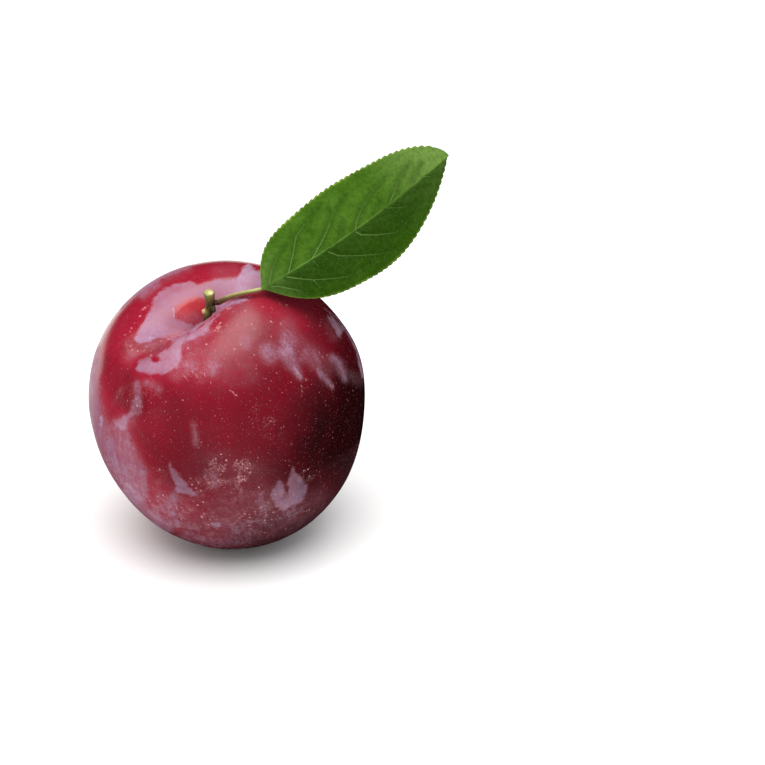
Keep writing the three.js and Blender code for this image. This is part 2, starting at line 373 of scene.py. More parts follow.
def inside_outline(spots, outline):
    """How far each spot lies inside a closed outline, less than 0 outside it."""
    ring = [*outline, outline[0]]
    inside = np.zeros(len(spots), bool)
    for (x1, y1), (x2, y2) in zip(ring, ring[1:]):
        crosses = (y1 > spots[:, 1]) != (y2 > spots[:, 1])
        at = x1 + (spots[:, 1] - y1) * (x2 - x1) / ((y2 - y1) or TINY)
        inside ^= crosses & (spots[:, 0] < at)
    return np.where(inside, 1, -1) * outside_line(spots, ring)


# %% Points in view
CLEAR_STEP = 0.4 * MM
TURNED_AWAY = -0.4
NEARLY_EDGE_ON = -0.03


def in_view(piece):
    """1 where the camera sees the piece, fading round its far side, 0 where it hides itself."""
    rows = places(piece)
    toward_eye = np.array(EYE) - rows
    toward_eye /= np.linalg.norm(toward_eye, axis=1)[:, None]
    normals = directions(piece)
    facing = (normals * toward_eye).sum(axis=1)
    tree = BVHTree.FromPolygons(rows.tolist(), [tuple(f.vertices) for f in piece.data.polygons])
    clear = np.ones(len(rows))
    for i in np.nonzero(facing > NEARLY_EDGE_ON)[0]:
        start = Vector(rows[i] + (toward_eye[i] + normals[i]) * CLEAR_STEP)
        if tree.ray_cast(start, Vector(toward_eye[i]))[0] is not None:
            clear[i] = 0
    return rise(facing, TURNED_AWAY, 0.0) * clear


spots = picture_places(places(skin))
shown = in_view(skin)
print("points in view:", int((shown > 0.5).sum()), "of", len(shown))

# %% [markdown]
# ## Bloom, haze and marks
# Bloom is a thin white wax that grows on the skin and looks lilac over the red. It is thick where
# nothing rubbed it, as in the basin, and its edges are crisp. A paint layer could store the bloom
# itself, but then its edges would be as coarse as the mesh. So each point stores how far inside
# the bloom it lies, in millimetres, and the material draws a fine ragged edge where that is zero.
# A second number stores how thick the wax is there. Each patch is its cover from 0 to 1 and its
# outline. Each line is its cover and the points it passes, with the half width at each.

# %% Bloom strokes
bloomed_areas = {  # cover and outline
    "basin": (0.5, [
        (262, 271), (256, 270), (252, 266), (248, 264), (244, 266), (241, 269), (240, 274), (236, 278),
        (229, 280), (220, 279), (211, 281), (203, 284), (197, 283), (190, 281), (181, 283), (172, 285),
        (166, 287), (161, 290), (157, 294), (154, 299), (152, 305), (149, 312), (146, 317), (142, 324),
        (139, 329), (136, 334), (133, 337), (135, 341), (140, 343), (147, 342), (154, 340), (160, 339),
        (167, 337), (173, 335), (179, 334), (186, 332), (192, 329), (199, 325), (206, 320), (213, 315),
        (217, 310), (222, 303), (232, 298), (246, 294), (262, 290)]),
    "below the seam": (0.52, [
        (214, 316), (216, 319), (210, 327), (206, 332), (201, 336), (193, 339), (186, 342), (182, 346),
        (181, 352), (182, 357), (180, 362), (175, 368), (169, 372), (161, 375), (153, 375), (147, 374),
        (140, 372), (135, 369), (137, 365), (139, 360), (146, 357), (151, 356), (158, 354), (165, 350),
        (170, 346), (172, 342), (169, 339), (176, 337), (184, 334), (193, 331), (201, 327), (208, 321)]),
    "lip": (0.42, [
        (214, 314), (219, 306), (225, 302), (236, 299.5), (246, 298.5), (249, 300), (244, 302), (235, 304),
        (228, 307), (222, 311), (219, 316), (215, 319)]),
    "left blob": (0.32, [
        (130, 411), (134, 415), (130, 420), (127, 424), (126, 430), (121, 432), (117, 427), (114, 424),
        (113, 420), (119, 418), (124, 415)]),
    "left triangle": (0.38, [
        (167, 458), (172, 466), (179, 473), (184, 480), (189, 486), (198, 495), (191, 496), (183, 494),
        (177, 492), (175, 484), (170, 474)]),
    "low right": (0.33, [
        (293, 464), (297, 474), (304, 480), (308, 486), (306, 495), (300, 502), (291, 507), (285, 511),
        (278, 509), (274, 502), (268, 495), (273, 488), (278, 481), (282, 480), (284, 488), (286, 497),
        (288, 494), (288, 484), (290, 475)]),
    "upper right": (0.52, [
        (328, 314), (334, 318), (339, 323), (344, 328), (344, 332), (341, 335), (341, 338), (338, 338),
        (335, 333), (334, 329), (331, 324), (327, 319)]),
    "left rim speck": (0.6, [(101, 415), (103, 416), (102, 426), (100, 426)]),
}
wiped_areas = {  # bare skin inside the bloom
    "heart": [
        (174, 307), (178, 305), (184, 302), (191, 298), (197, 297), (203, 298), (207, 302), (209, 309),
        (209, 315), (205, 320), (199, 323), (193, 326), (187, 324), (183, 321), (178, 319), (175, 315)],
    "red spot": [(151, 357), (154, 356), (160, 357), (161, 360), (156, 363), (152, 362)],
    "dark streak": [(278, 486), (279.5, 490), (281, 500), (279, 496)],
}
bloomed_lines = {  # cover and line, with its half widths
    "ridge": (0.6, [
        (168, 339.5, 1.2), (176, 336.5, 1.8), (184, 333, 2.2), (194, 328, 2.4), (200, 324, 2.4),
        (206, 320, 2.2), (213, 315, 2.0), (217, 310, 1.8), (220, 306, 1.4), (226, 302, 0.8)]),
    "lip glint": (0.75, [(217, 317, 0.5), (220, 311, 1.1), (223, 307, 1.3), (227, 305, 0.4)]),
    "round spot": (0.45, [(214, 525, 3.0), (218, 525, 2.4)]),
    "right rim": (0.65, [
        (317, 304, 0), (328, 311, 0.8), (335.5, 317, 1.2), (340.5, 322, 1.3), (345.5, 329, 1.3),
        (349.5, 336, 1.2), (353.5, 344, 1.3), (357, 352, 1.8), (359.5, 360, 2.1), (361.5, 368, 1.7),
        (362.5, 377, 0.8)]),
    "cheek tail": (0.3, [(294, 368, 1.0), (300, 377, 0.8), (302, 384, 0.2), (302, 396, 0)]),
    "underside thread": (0.3, [(191, 528, 0.6), (199, 529, 0.5)]),
    "underside thread 2": (0.3, [(268, 527, 0.3), (279, 521, 0.6), (289, 517, 0.3)]),
    "below the triangle": (0.3, [(173, 511, 1.2), (177, 522, 2.2), (180, 530, 1)]),
    "left white thread": (0.5, [(122, 483, 0.2), (130, 487, 1.2), (136, 492, 0.2)]),
}
print("patches and lines of bloom:", len(bloomed_areas), "and", len(bloomed_lines))

# %% Bloom depth
PICTURE_TO_MM = 1 / 4.57
DEPTH_LIMIT = 6.0
BACK_PATCHES = [(5.0, 13, 11), (2.5, 5, 17)]  # depth, size in millimetres and seed
BACK_BARE = 1.9
BASIN_REACH = 13
PIT = Vector((-4.085, -8.618, 51.628))  # the floor of the basin, in millimetres

depths = [inside_outline(spots, outline) for _, outline in bloomed_areas.values()]
depths += [-outside_line(spots, line) for _, line in bloomed_lines.values()]
covers = [cover for cover, _ in (*bloomed_areas.values(), *bloomed_lines.values())]
bloom = np.max(depths, axis=0) * PICTURE_TO_MM
cover = np.array(covers)[np.argmax(depths, axis=0)]
for outline in wiped_areas.values():
    bloom = np.minimum(bloom, -inside_outline(spots, outline) * PICTURE_TO_MM)

rows = places(skin)
from_pit = np.linalg.norm(rows / MM - np.array(PIT), axis=1)
behind = sum(depth * clouds(rows, size * MM, seed) for depth, size, seed in BACK_PATCHES) - BACK_BARE
behind = np.maximum(behind, BASIN_REACH - from_pit)
bloom = np.clip(shown * bloom + (1 - shown) * behind, -DEPTH_LIMIT, DEPTH_LIMIT)
paint(skin, "bloom", bloom)
print("share under bloom:", round(float((bloom > 0).mean()), 3))

# %% [markdown]
# ## Soft strokes
# Thin wax, dull places and fine scars fade out softly, so a distance to their edge isn't needed.
# A few of the haze strokes are painted reflection along the rims and painted highlight below the cheek.
# Each stroke is a line, how far it fades out beyond its width, and its strength. Strokes that lie
# over each other add up like coats of thin paint and never pass full strength.

# %% Soft strokes
thick_strokes = [
    ([(250, 268, 4), (250, 286, 6)], 9, 0.42),
    ([(232, 284, 3), (236, 290, 3)], 9, 0.2),
    ([(140, 335, 3), (155, 330, 5)], 9, 0.25),
    ([(180, 347, 1), (172, 358, 2)], 5, 0.15),
    ([(150, 366, 4), (142, 368, 2)], 6, 0.12),
    ([(122, 424, 2), (124, 427, 1)], 4, 0.2),
]
# Thin wax; the strokes marked below are painted reflection and painted highlight instead.
haze_and_sheen_strokes = [
    ([(122, 432, 2), (125, 446, 5), (128, 460, 8), (132, 474, 10), (134, 487, 8), (140, 499, 3)], 5, 0.42),
    ([(110, 430, 2), (116, 462, 4), (128, 490, 5)], 6, 0.2),
    ([(288, 336, 3), (288, 350, 4)], 5, 0.2),
    ([(284, 353, 3), (291, 363, 3), (297, 371, 1.5), (300, 377, 0)], 3.5, 0.32),
    ([(266, 351, 3), (270, 358, 3)], 5, 0.26),
    ([(272, 348, 2), (283, 348, 3)], 6, 0.15),
    ([(285, 325, 3), (290, 336, 3)], 7, 0.14),
    ([(296, 345, 4), (306, 352, 4)], 7, 0.1),
    ([(304, 353, 1), (303, 359, 1)], 3, 0.16),
    ([(312, 356, 3), (316, 363, 2)], 5, 0.14),
    ([(330, 322, 2), (335, 334, 2)], 5, 0.12),
    ([(352, 376, 2), (360, 380, 3)], 4, 0.12),
    ([(332, 357, 1), (338, 363, 2), (342, 371, 2), (345, 379, 0)], 3, 0.36),
    ([(318, 370, 0.5), (322, 376, 1.2), (327, 381, 1), (332, 387, 0.3)], 1.8, 0.42),
    ([(304, 348, 3), (316, 358, 4), (326, 368, 3)], 8, 0.09),
    ([(226, 306, 3), (244, 305, 3)], 6, 0.13),
    ([(245, 341, 4), (246, 345, 3)], 3, 0.2),
    ([(212, 367, 3), (212, 372, 2)], 4, 0.2),
    ([(188, 361, 5), (212, 360, 6)], 9, 0.17),
    ([(176, 374, 3), (184, 369, 3)], 5, 0.2),
    # Painted highlight: carries the cheek's highlight further down.
    ([(226, 374, 6), (246, 373, 6)], 9, 0.08),
    ([(126, 494, 3), (146, 514, 3), (164, 528, 3)], 5, 0.35),
    ([(186, 538, 3), (216, 545, 3)], 5, 0.2),
    ([(190, 366, 1), (204, 379, 1)], 4, 0.1),
    ([(146, 383, 1), (152, 384, 1), (159, 389, 1)], 3, 0.25),
    ([(128, 356, 3), (134, 353, 2)], 4, 0.15),
    ([(193, 424, 0), (195, 434, 0.5), (196, 444, 0.5)], 2.5, 0.22),
    ([(142, 294, 2), (150, 287, 3), (156, 284, 2)], 4, 0.3),
    ([(168, 277, 1), (188, 268, 1)], 5, 0.12),
    ([(220, 275, 4), (232, 274, 4)], 6, 0.1),
    ([(184, 316, 3), (196, 319, 3)], 5, 0.2),
    # Painted reflection: a pale line along the upper left rim.
    ([(122, 307, 0), (138, 291, 0), (160, 277, 0), (188, 266, 0)], 3, 0.4),
    ([(176, 492, 1), (171, 501, 1), (165, 507, 1)], 3, 0.22),
    ([(140, 494, 4), (162, 512, 6)], 14, 0.2),
    ([(180, 526, 5), (236, 538, 5)], 12, 0.1),
    ([(172, 508, 6), (230, 516, 8), (284, 504, 6)], 14, 0.1),
    ([(137, 384, 1), (138, 396, 1.5), (136, 410, 3)], 2.6, 0.36),
    ([(118, 424, 5), (128, 421, 4)], 4, 0.2),
    ([(184, 345, 2), (197, 338, 2), (208, 331, 1)], 4.5, 0.24),
    ([(146, 346, 1), (152, 344, 2), (161, 342, 1)], 3.5, 0.2),
    # Painted reflection: the pale band along the left rim.
    ([(97, 350, 0), (92, 372, 1), (93, 404, 4), (97, 428, 6), (103, 456, 7), (112, 478, 4)], 6, 0.46),
    ([(236, 538, 5), (290, 524, 4), (320, 502, 3)], 12, 0.11),
    ([(210, 470, 5), (250, 480, 8), (240, 500, 8)], 18, 0.06),
    ([(212, 478, 4), (214, 481, 3)], 4, 0.18),
    ([(285, 511, 1), (292, 510, 1)], 3, 0.15),
    ([(262, 500, 2), (264, 506, 2)], 4, 0.12),
]
dull_strokes = [
    ([(232, 318, 8), (256, 334, 8)], 24, 0.17),
    ([(134, 344, 4), (146, 344, 4), (160, 341, 3)], 6, 0.55),
    ([(222, 468, 8), (244, 478, 8)], 12, 0.1),
]
mark_strokes = [
    ([(211, 464, 2), (222, 462, 4), (224, 478, 4), (212, 482, 4), (209, 472, 3)], 3, 0.9),
    ([(236, 462, 2), (246, 466, 4), (243, 476, 3), (238, 488, 2)], 3, 0.9),
    ([(196, 480, 2), (202, 488, 3)], 5, 0.5),
    ([(258, 412, 2), (268, 420, 4), (272, 432, 3)], 6, 0.24),
    ([(128, 347, 3), (144, 346, 4), (160, 343, 3)], 5, 0.3),
    ([(178, 366, 2), (200, 376, 3)], 6, 0.3),
    ([(216, 322, 2), (222, 330, 2)], 4, 0.4),
    ([(150, 506, 3), (196, 520, 6), (206, 534, 5)], 7, 0.5),
    ([(262, 494, 3), (268, 508, 3)], 6, 0.5),
    ([(240, 525, 5), (280, 518, 4), (296, 508, 3)], 8, 0.35),
    ([(303, 478, 2), (308, 476, 2)], 4, 0.5),
    ([(158, 475, 3), (160, 482, 2)], 5, 0.3),
    ([(128, 486, 3), (148, 506, 4), (176, 524, 4)], 8, 0.4),
    ([(180, 502, 6), (230, 512, 8), (262, 506, 5)], 12, 0.25),
    ([(128, 396, 4), (150, 400, 4)], 10, 0.25),
    ([(232, 320, 8), (262, 334, 8)], 14, 0.16),
]


def soft_strokes(strokes, elsewhere):
    """Lays soft strokes over each other, and another value where the camera doesn't see."""
    clean = np.ones(len(spots))
    for line, reach, strength in strokes:
        clean *= 1 - strength * bell(np.maximum(outside_line(spots, line), 0), reach)
    return shown * (1 - clean) + (1 - shown) * elsewhere


BACK_COVER = 0.45
BACK_DULL = 0.05
cover = shown * cover + (1 - shown) * BACK_COVER
haze_behind = 0.4 * rise(clouds(rows, 11 * MM, seed=23), 0.0, 0.7)
marks_behind = 0.5 * rise(clouds(rows, 12 * MM, seed=31), 0.1, 0.6)
paint(skin, "cover", np.clip(cover + soft_strokes(thick_strokes, 0), 0, 1))
paint(skin, "haze_and_sheen", soft_strokes(haze_and_sheen_strokes, haze_behind))
paint(skin, "marks", soft_strokes(mark_strokes, marks_behind))
paint(skin, "dull", soft_strokes(dull_strokes, BACK_DULL))
print("haze, dull and mark strokes:", len(haze_and_sheen_strokes), len(dull_strokes), len(mark_strokes))

# %% [markdown]
# ## Pores and scratches
# A few pores are larger and paler than the rest, and twigs left thin scratches. Noise would put them
# anywhere, so these few are listed one by one: a pore by its place and size, a scratch by its line.

# %% Bold pores and scratches
PORE_HALF = 0.75
MARK_LIMIT = 4
bold_pores = [  # place and size
    (145, 308, 1.6), (143, 309.5, 1.2), (148, 305.5, 1), (140.2, 316, 1.5), (131, 328, 1.4),
    (130, 331.5, 1.2), (134.5, 323, 1.1), (151, 355, 1.4), (144, 350.5, 1), (228, 308.5, 1.3),
    (231, 308, 1), (220, 326.8, 1.3), (218, 328.7, 1.2), (222, 332.5, 0.9), (206.4, 344.4, 1.1),
    (188, 348, 1), (234.5, 349.6, 1.4), (254.5, 354.4, 1.5), (260.7, 347.7, 1.4), (268.3, 343.9, 1.3),
    (238.8, 364.4, 1.3), (256, 328.7, 1.1), (246, 324.3, 1.1), (179, 366, 1.2), (281, 323.7, 1.7),
    (286.8, 305, 1.2), (279.5, 302.8, 1), (272.7, 309.6, 1), (321.4, 319.2, 1.1), (320.5, 325.5, 1.1),
    (306.4, 315.5, 1), (263.5, 362, 1.1), (276.8, 372.8, 1.2), (311.4, 368.7, 1), (317.7, 371.5, 1),
    (322.7, 357, 1), (332.7, 386.5, 1.2), (286.4, 387.4, 1.1), (281.8, 392.8, 1), (183, 400, 1.1),
    (194, 416.5, 1.1), (240.5, 482, 1.2), (229.5, 485, 1.2), (237, 488, 1.1), (239, 486, 1),
    (309, 476, 1.2), (308, 479.5, 1), (153.5, 436, 1),
]
scratches = [
    [(240, 480, 0.9), (244.5, 479, 0.7)],
    [(247, 471, 0.6), (251, 474, 0.5)],
    [(230, 391, 0.7), (234, 393, 0.9), (237, 396, 0.4)],
    [(264, 383, 0.3), (267, 387, 0.6), (270, 392, 0.3)],
    [(305.5, 378, 0.3), (307, 385, 0.4), (307.8, 391, 0.2)],
    [(300.5, 381, 0.2), (302, 389, 0.5), (302, 398, 0.2)],
    [(172.5, 321, 0.4), (174, 313, 0.6), (173, 307, 0.4)],
    [(203, 361, -0.3), (189, 352, -0.1)],
    [(176, 367, 0.0), (187, 379, 0.1), (195, 390, -0.2)],
    [(180, 365, -0.2), (192, 378, 0.0), (197, 384, -0.2)],
    [(184, 364, -0.1), (199, 378, 0.0)],
    [(188, 361, -0.1), (203, 372, -0.2)],
    [(165, 384, -0.2), (178, 394, -0.1)],
    [(208, 348, -0.4), (228, 346, -0.3)],
    [(213, 333, 0.4), (221, 322, 0.3)],
]
pore_depth = [PORE_HALF * size - np.hypot(spots[:, 0] - x, spots[:, 1] - y) for x, y, size in bold_pores]
scratch_depth = [-outside_line(spots, line) for line in scratches]
bold = np.clip(np.max(pore_depth + scratch_depth, axis=0), -MARK_LIMIT, MARK_LIMIT)
paint(skin, "bold", (shown * bold - (1 - shown) * MARK_LIMIT) * PICTURE_TO_MM)
print("bold pores and scratches:", len(bold_pores), "and", len(scratches))

# %% [markdown]
# ## Ripeness, painted shade and grain
# A plum is darkest on its ripe side and stays bright red elsewhere. Here the same darkening is also painted
# shade: it grows across the fruit towards its right, front and lower side, with soft strokes that add
# or take some. The skin's fine streaks run from the stalk to the far end. They follow a place that is
# unrolled round the fruit's own axis.

# %% Ripeness, painted shade and grain
FRUIT_MIDDLE = np.array([-0.735, -1.731, 31.627]) * MM
LEAN_FORWARD = math.radians(19)
LEAN_LEFT = math.radians(9)
GRAIN_ROUND = 20
GRAIN_DOWN = 30
DARKER_SIDE = Vector((0.86, -0.25, -0.42)).normalized()
DARKENING_FROM = -25
DARKENING_TO = 33
DARKENING_DRIFT = 2

lean = Matrix.Rotation(LEAN_FORWARD, 3, "X") @ Matrix.Rotation(-LEAN_LEFT, 3, "Y")
upright = (rows - FRUIT_MIDDLE) @ np.array(lean) / MM
round_way = np.arctan2(upright[:, 1], upright[:, 0])
down_way = np.arctan2(np.hypot(upright[:, 0], upright[:, 1]), upright[:, 2])
grain = [GRAIN_ROUND * np.cos(round_way), GRAIN_ROUND * np.sin(round_way), GRAIN_DOWN * down_way]
paint(skin, "grain", np.stack(grain, axis=1))

# Ripeness and painted shade together: the skin darkens towards its right, front and lower side.
toward_darker_side = (rows - FRUIT_MIDDLE) @ np.array(DARKER_SIDE) / MM
ripe_and_shade = rise(toward_darker_side + DARKENING_DRIFT * clouds(rows, 14 * MM, seed=41), DARKENING_FROM, DARKENING_TO)
# Strokes that darken further; the one along the right edge deepens the painted shade there.
darkening_strokes = [
    ([(110, 364, 4), (120, 386, 8), (132, 400, 5)], 14, 0.36),
    ([(128, 346, 4), (146, 345, 4), (158, 342, 3)], 8, 0.26),
    ([(158, 404, 10), (162, 440, 12), (184, 466, 12)], 20, 0.22),
    ([(180, 384, 8), (196, 404, 8)], 16, 0.08),
    ([(354, 392, 4), (358, 425, 6), (352, 452, 4)], 14, 0.15),
]
# Strokes that take darkening away; the one at 268, 300 paints light over the leaf's shadow on the fruit.
lightening_strokes = [
    ([(160, 500, 8), (200, 506, 10), (250, 498, 12)], 20, 0.1),
    ([(256, 350, 8), (300, 338, 8)], 20, 0.08),
    ([(268, 300, 6), (300, 312, 8)], 14, 0.16),
    ([(300, 504, 8), (330, 484, 8)], 18, 0.1),
]
# The bare heart in the basin is laid a brighter red, partly its own colour and partly painted light in the
# basin's shade.
heart_light_strokes = [
    ([(196, 304, 4), (186, 310, 4)], 8, 0.8),
    ([(190, 316, 2), (198, 318, 2)], 5, 0.15),
]
ripe_and_shade = np.clip(ripe_and_shade + soft_strokes(darkening_strokes, 0) - soft_strokes(lightening_strokes, 0), 0, 1)
paint(skin, "ripe_and_shade", ripe_and_shade)
paint(skin, "heart", soft_strokes(heart_light_strokes, 0))
print("ripe from", round(float(ripe_and_shade.min()), 2), "to", round(float(ripe_and_shade.max()), 2))


# %% [markdown]
# ## Effects that several finishes share
# Skin, bark and leaf all have cloudy tones, small pale pores and fine relief, only at different
# sizes, and both scratched skin and leaves show a net of fine lines. Each effect is a node group,
# built once, with its size and strength as inputs.

# %% Group tools
def new_group(name, inputs, output):
    """A node group with number inputs, or vector inputs where the start is None, and one output."""
    tree = bpy.data.node_groups.new(name, "ShaderNodeTree")
    for label, start in inputs.items():
        kind = "NodeSocketVector" if start is None else "NodeSocketFloat"
        socket = tree.interface.new_socket(label, in_out="INPUT", socket_type=kind)
        if start is not None:
            socket.default_value = start
    tree.interface.new_socket(output, in_out="OUTPUT", socket_type="NodeSocketFloat")
    return tree, tree.nodes.new("NodeGroupInput").outputs, tree.nodes.new("NodeGroupOutput")


def use_group(tree, group, place, **inputs):
    """Places a group in a material, sets its inputs by name and gives its output."""
    made = tree.nodes.new("ShaderNodeGroup")
    made.node_tree = group
    feed(tree, made, {"Place": place, **inputs})
    return made.outputs[0]


# %% Cloudy tone
cloud_group, given, end = new_group(
    "cloudy_tone", {"Place": None, "Size": 5.0, "Detail": 3.0, "Contrast": 1.0}, "Tone")
tree = cloud_group
texture = put(tree, "TexNoise", {"Vector": given["Place"], "Scale": calc(tree, "DIVIDE", 1.0, given["Size"]),
                                 "Detail": given["Detail"], "Roughness": 0.6})
centred = calc(tree, "SUBTRACT", texture.outputs[0], 0.5)
feed(tree, end, {"Tone": plus(tree, times(tree, centred, given["Contrast"]), 0.5)})

# %% Pale pores
pore_group, given, end = new_group(
    "pores", {"Place": None, "Spacing": 2.0, "Size": 0.15, "Share": 0.5}, "Mask")
tree = pore_group
per_spacing = calc(tree, "DIVIDE", 1.0, given["Spacing"])
cells = put(tree, "TexVoronoi", {"Vector": given["Place"], "Scale": per_spacing}).outputs
chance = put(tree, "SeparateColor", {0: cells["Color"]}).outputs
from_middle = times(tree, cells["Distance"], given["Spacing"])
size = times(tree, given["Size"], ease(tree, chance[1], 0.0, 1.0, 0.5, 1.3))
dot = ease(tree, calc(tree, "DIVIDE", from_middle, size), 0.6, 1.1, 1.0, 0.0)
kept = calc(tree, "LESS_THAN", chance[0], given["Share"])
bright = ease(tree, chance[2], 0.0, 1.0, 0.35, 1.0)
feed(tree, end, {"Mask": times(tree, dot, bright, kept)})

# %% Fine relief
relief_group, given, end = new_group(
    "fine_relief", {"Place": None, "Size": 0.6, "Height": 1.0, "Dents": 0.3}, "Height")
tree = relief_group
per_size = calc(tree, "DIVIDE", 1.0, given["Size"])
rough = put(tree, "TexNoise", {"Vector": given["Place"], "Scale": per_size, "Detail": 4.0,
                               "Roughness": 0.55})
dents = put(tree, "TexVoronoi", {"Vector": given["Place"], "Scale": times(tree, per_size, 0.35)},
            feature="SMOOTH_F1")
sunk = times(tree, dents.outputs["Distance"], given["Dents"])
feed(tree, end, {"Height": times(tree, plus(tree, rough.outputs[0], sunk), given["Height"])})

# %% Net of fine lines
net_group, given, end = new_group("vein_net", {"Place": None, "Spacing": 1.3, "Width": 0.1}, "Net")
tree = net_group
shift = put(tree, "TexNoise", {"Vector": given["Place"], "Scale": 0.8, "Detail": 2.0}).outputs["Color"]
wander = put(tree, "VectorMath", {0: shift, "Scale": 1.2}, operation="SCALE").outputs[0]
moved = put(tree, "VectorMath", {0: given["Place"], 1: wander}).outputs[0]
per_spacing = calc(tree, "DIVIDE", 1.0, given["Spacing"])
cells = put(tree, "TexVoronoi", {"Vector": moved, "Scale": per_spacing}, feature="DISTANCE_TO_EDGE")
gap = times(tree, cells.outputs["Distance"], given["Spacing"])
feed(tree, end, {"Net": ease(tree, calc(tree, "DIVIDE", gap, given["Width"]), 0.3, 1.4, 1.0, 0.0)})
print("groups:", [group.name for group in (cloud_group, pore_group, relief_group, net_group)])


# %% Material tools
def new_material(name):
    """A node material, with its tree, its shader and the place on the piece in millimetres."""
    made = bpy.data.materials.new(name)
    made.use_nodes = True
    tree = made.node_tree
    where = put(tree, "TexCoord").outputs["Object"]
    place = put(tree, "VectorMath", {0: where, "Scale": 1 / MM}, operation="SCALE").outputs[0]
    return made, tree, tree.nodes["Principled BSDF"], place


def painted(tree, name, output="Fac"):
    """What was painted on the points: a number, or three from the output called Vector."""
    return put(tree, "Attribute", attribute_name=name, attribute_type="GEOMETRY").outputs[output]


def stretched(tree, place, squeeze):
    """A place squeezed from top to bottom, so that patterns on it grow long."""
    return put(tree, "Mapping", {"Vector": place, "Scale": (1, 1, squeeze)}).outputs[0]


def bumped(tree, height, strength, depth):
    """A normal that follows a height, with its depth in millimetres."""
    inputs = {"Strength": strength, "Distance": depth * MM, "Height": height}
    return put(tree, "Bump", inputs).outputs[0]


# %% [markdown]
# ## The skin's finish
# From inside to outside, a plum's skin is red flesh colour that turns nearly black where it is
# ripest and where shade is painted, pale pores, a thin haze of wax over all of it, thick lilac bloom
# in patches, and marks where twigs scratched it. The layers are mixed in that order. A few strokes of
# the thin haze are painted reflection at the rims and painted highlight on the cheek. Bare skin is
# glossy, and wax is dull, so the same masks that mix the colours also set the roughness.

# %% Skin colours
BRIGHT_RED = (0.31, 0.008, 0.026, 1)
DEEP_RED = (0.13, 0.002, 0.009, 1)
NEAR_BLACK = (0.016, 0.0005, 0.0012, 1)
# Partly painted light: the bright red of the bare heart lies in the basin's shade.
LIT_HEART_RED = (0.52, 0.035, 0.045, 1)
LILAC = (0.39, 0.215, 0.315, 1)
MAUVE = (0.33, 0.215, 0.35, 1)
HAZE_AND_SHEEN_PINK = (0.37, 0.17, 0.215, 1)
PORE_PINK = (0.72, 0.34, 0.35, 1)
MARK_PINK = (0.62, 0.32, 0.34, 1)

skin_paint, tree, shader, place = new_material("plum_skin")
grain = painted(tree, "grain", "Vector")
slow = use_group(tree, cloud_group, place, Size=9.0, Detail=3.0, Contrast=1.6)
quick = use_group(tree, cloud_group, place, Size=2.2, Detail=6.0, Contrast=1.4)
mottled = use_group(tree, cloud_group, place, Size=0.5, Detail=3.0, Contrast=1.7)
streak_way = stretched(tree, grain, 0.12)
streaks = use_group(tree, cloud_group, streak_way, Size=0.8, Detail=5.0, Contrast=1.6)
print("tones for the skin:", len(tree.nodes), "nodes")

# %% Skin reds
ripe_and_shade_here = plus(tree, painted(tree, "ripe_and_shade"), ease(tree, slow, 0.0, 1.0, -0.07, 0.07))
heart = times(tree, painted(tree, "heart"), ease(tree, quick, 0.3, 0.7, 1.0, 0.55))
# DEEP_RED and then NEAR_BLACK follow the darkening map, ripe colour and painted shade in one.
red = layers(
    tree, BRIGHT_RED,
    (ease(tree, ripe_and_shade_here, 0.15, 0.62), DEEP_RED),
    (ease(tree, streaks, 0.35, 0.9, 0.0, 0.22), DEEP_RED),
    (ease(tree, mottled, 0.35, 0.8, 0.0, 0.3), DEEP_RED),
    (ease(tree, mottled, 0.1, 0.45, 0.3, 0.0), BRIGHT_RED),
    (ease(tree, ripe_and_shade_here, 0.6, 1.0), NEAR_BLACK),
    (heart, LIT_HEART_RED))
print("with its reds:", len(tree.nodes), "nodes")

# %% Bloom masks
ragged = times(tree, calc(tree, "SUBTRACT", quick, 0.5), 1.1)
combed = times(tree, calc(tree, "SUBTRACT", streaks, 0.5), 0.35)
edge = plus(tree, ragged, combed, painted(tree, "bloom"))
thick = times(tree, ease(tree, edge, -0.3, 0.5), painted(tree, "cover"),
              ease(tree, quick, 0.1, 0.9, 0.72, 1.2), ease(tree, mottled, 0.1, 0.9, 0.86, 1.12))
uneven = times(tree, ease(tree, quick, 0.2, 0.8, 0.75, 1.2), ease(tree, streaks, 0.3, 0.7, 0.8, 1.15),
               ease(tree, mottled, 0.2, 0.8, 0.7, 1.25))
# The haze strokes include painted reflection at the rims and painted highlight below the cheek.
film_and_sheen = times(tree, painted(tree, "haze_and_sheen"), uneven)
thin = times(tree, ease(tree, slow, 0.3, 0.9, 0.005, 0.05), ease(tree, mottled, 0.2, 0.9, 0.4, 1.6),
             ease(tree, painted(tree, "ripe_and_shade"), 0.2, 0.9, 1.0, 0.15))
wax = put(tree, "Clamp", {"Value": plus(tree, film_and_sheen, thin, thick)}).outputs[0]
print("with its wax:", len(tree.nodes), "nodes")

# %% Pores and marks
small_pores = use_group(tree, pore_group, place, Spacing=0.7, Size=0.12, Share=0.45)
large_pores = use_group(tree, pore_group, place, Spacing=1.4, Size=0.165, Share=0.28)
faint_pores = use_group(tree, pore_group, place, Spacing=0.42, Size=0.11, Share=0.5)
pores = calc(tree, "MAXIMUM", times(tree, small_pores, 0.45), times(tree, large_pores, 0.6),
             times(tree, faint_pores, 0.2))
marked = painted(tree, "marks")
scuff_way = stretched(tree, grain, 0.6)
flecks = use_group(tree, pore_group, scuff_way, Spacing=0.48, Size=0.15, Share=times(tree, marked, 0.8))
curls = use_group(tree, net_group, place, Spacing=0.75, Width=0.08)
curls = times(tree, curls, ease(tree, quick, 0.4, 0.65), marked)
marks = calc(tree, "MAXIMUM", flecks, times(tree, curls, 0.5))
broken = plus(tree, painted(tree, "bold"), ease(tree, mottled, 0.0, 1.0, -0.12, 0.12))
bold = ease(tree, broken, -0.12, 0.14)
print("with pores and marks:", len(tree.nodes), "nodes")

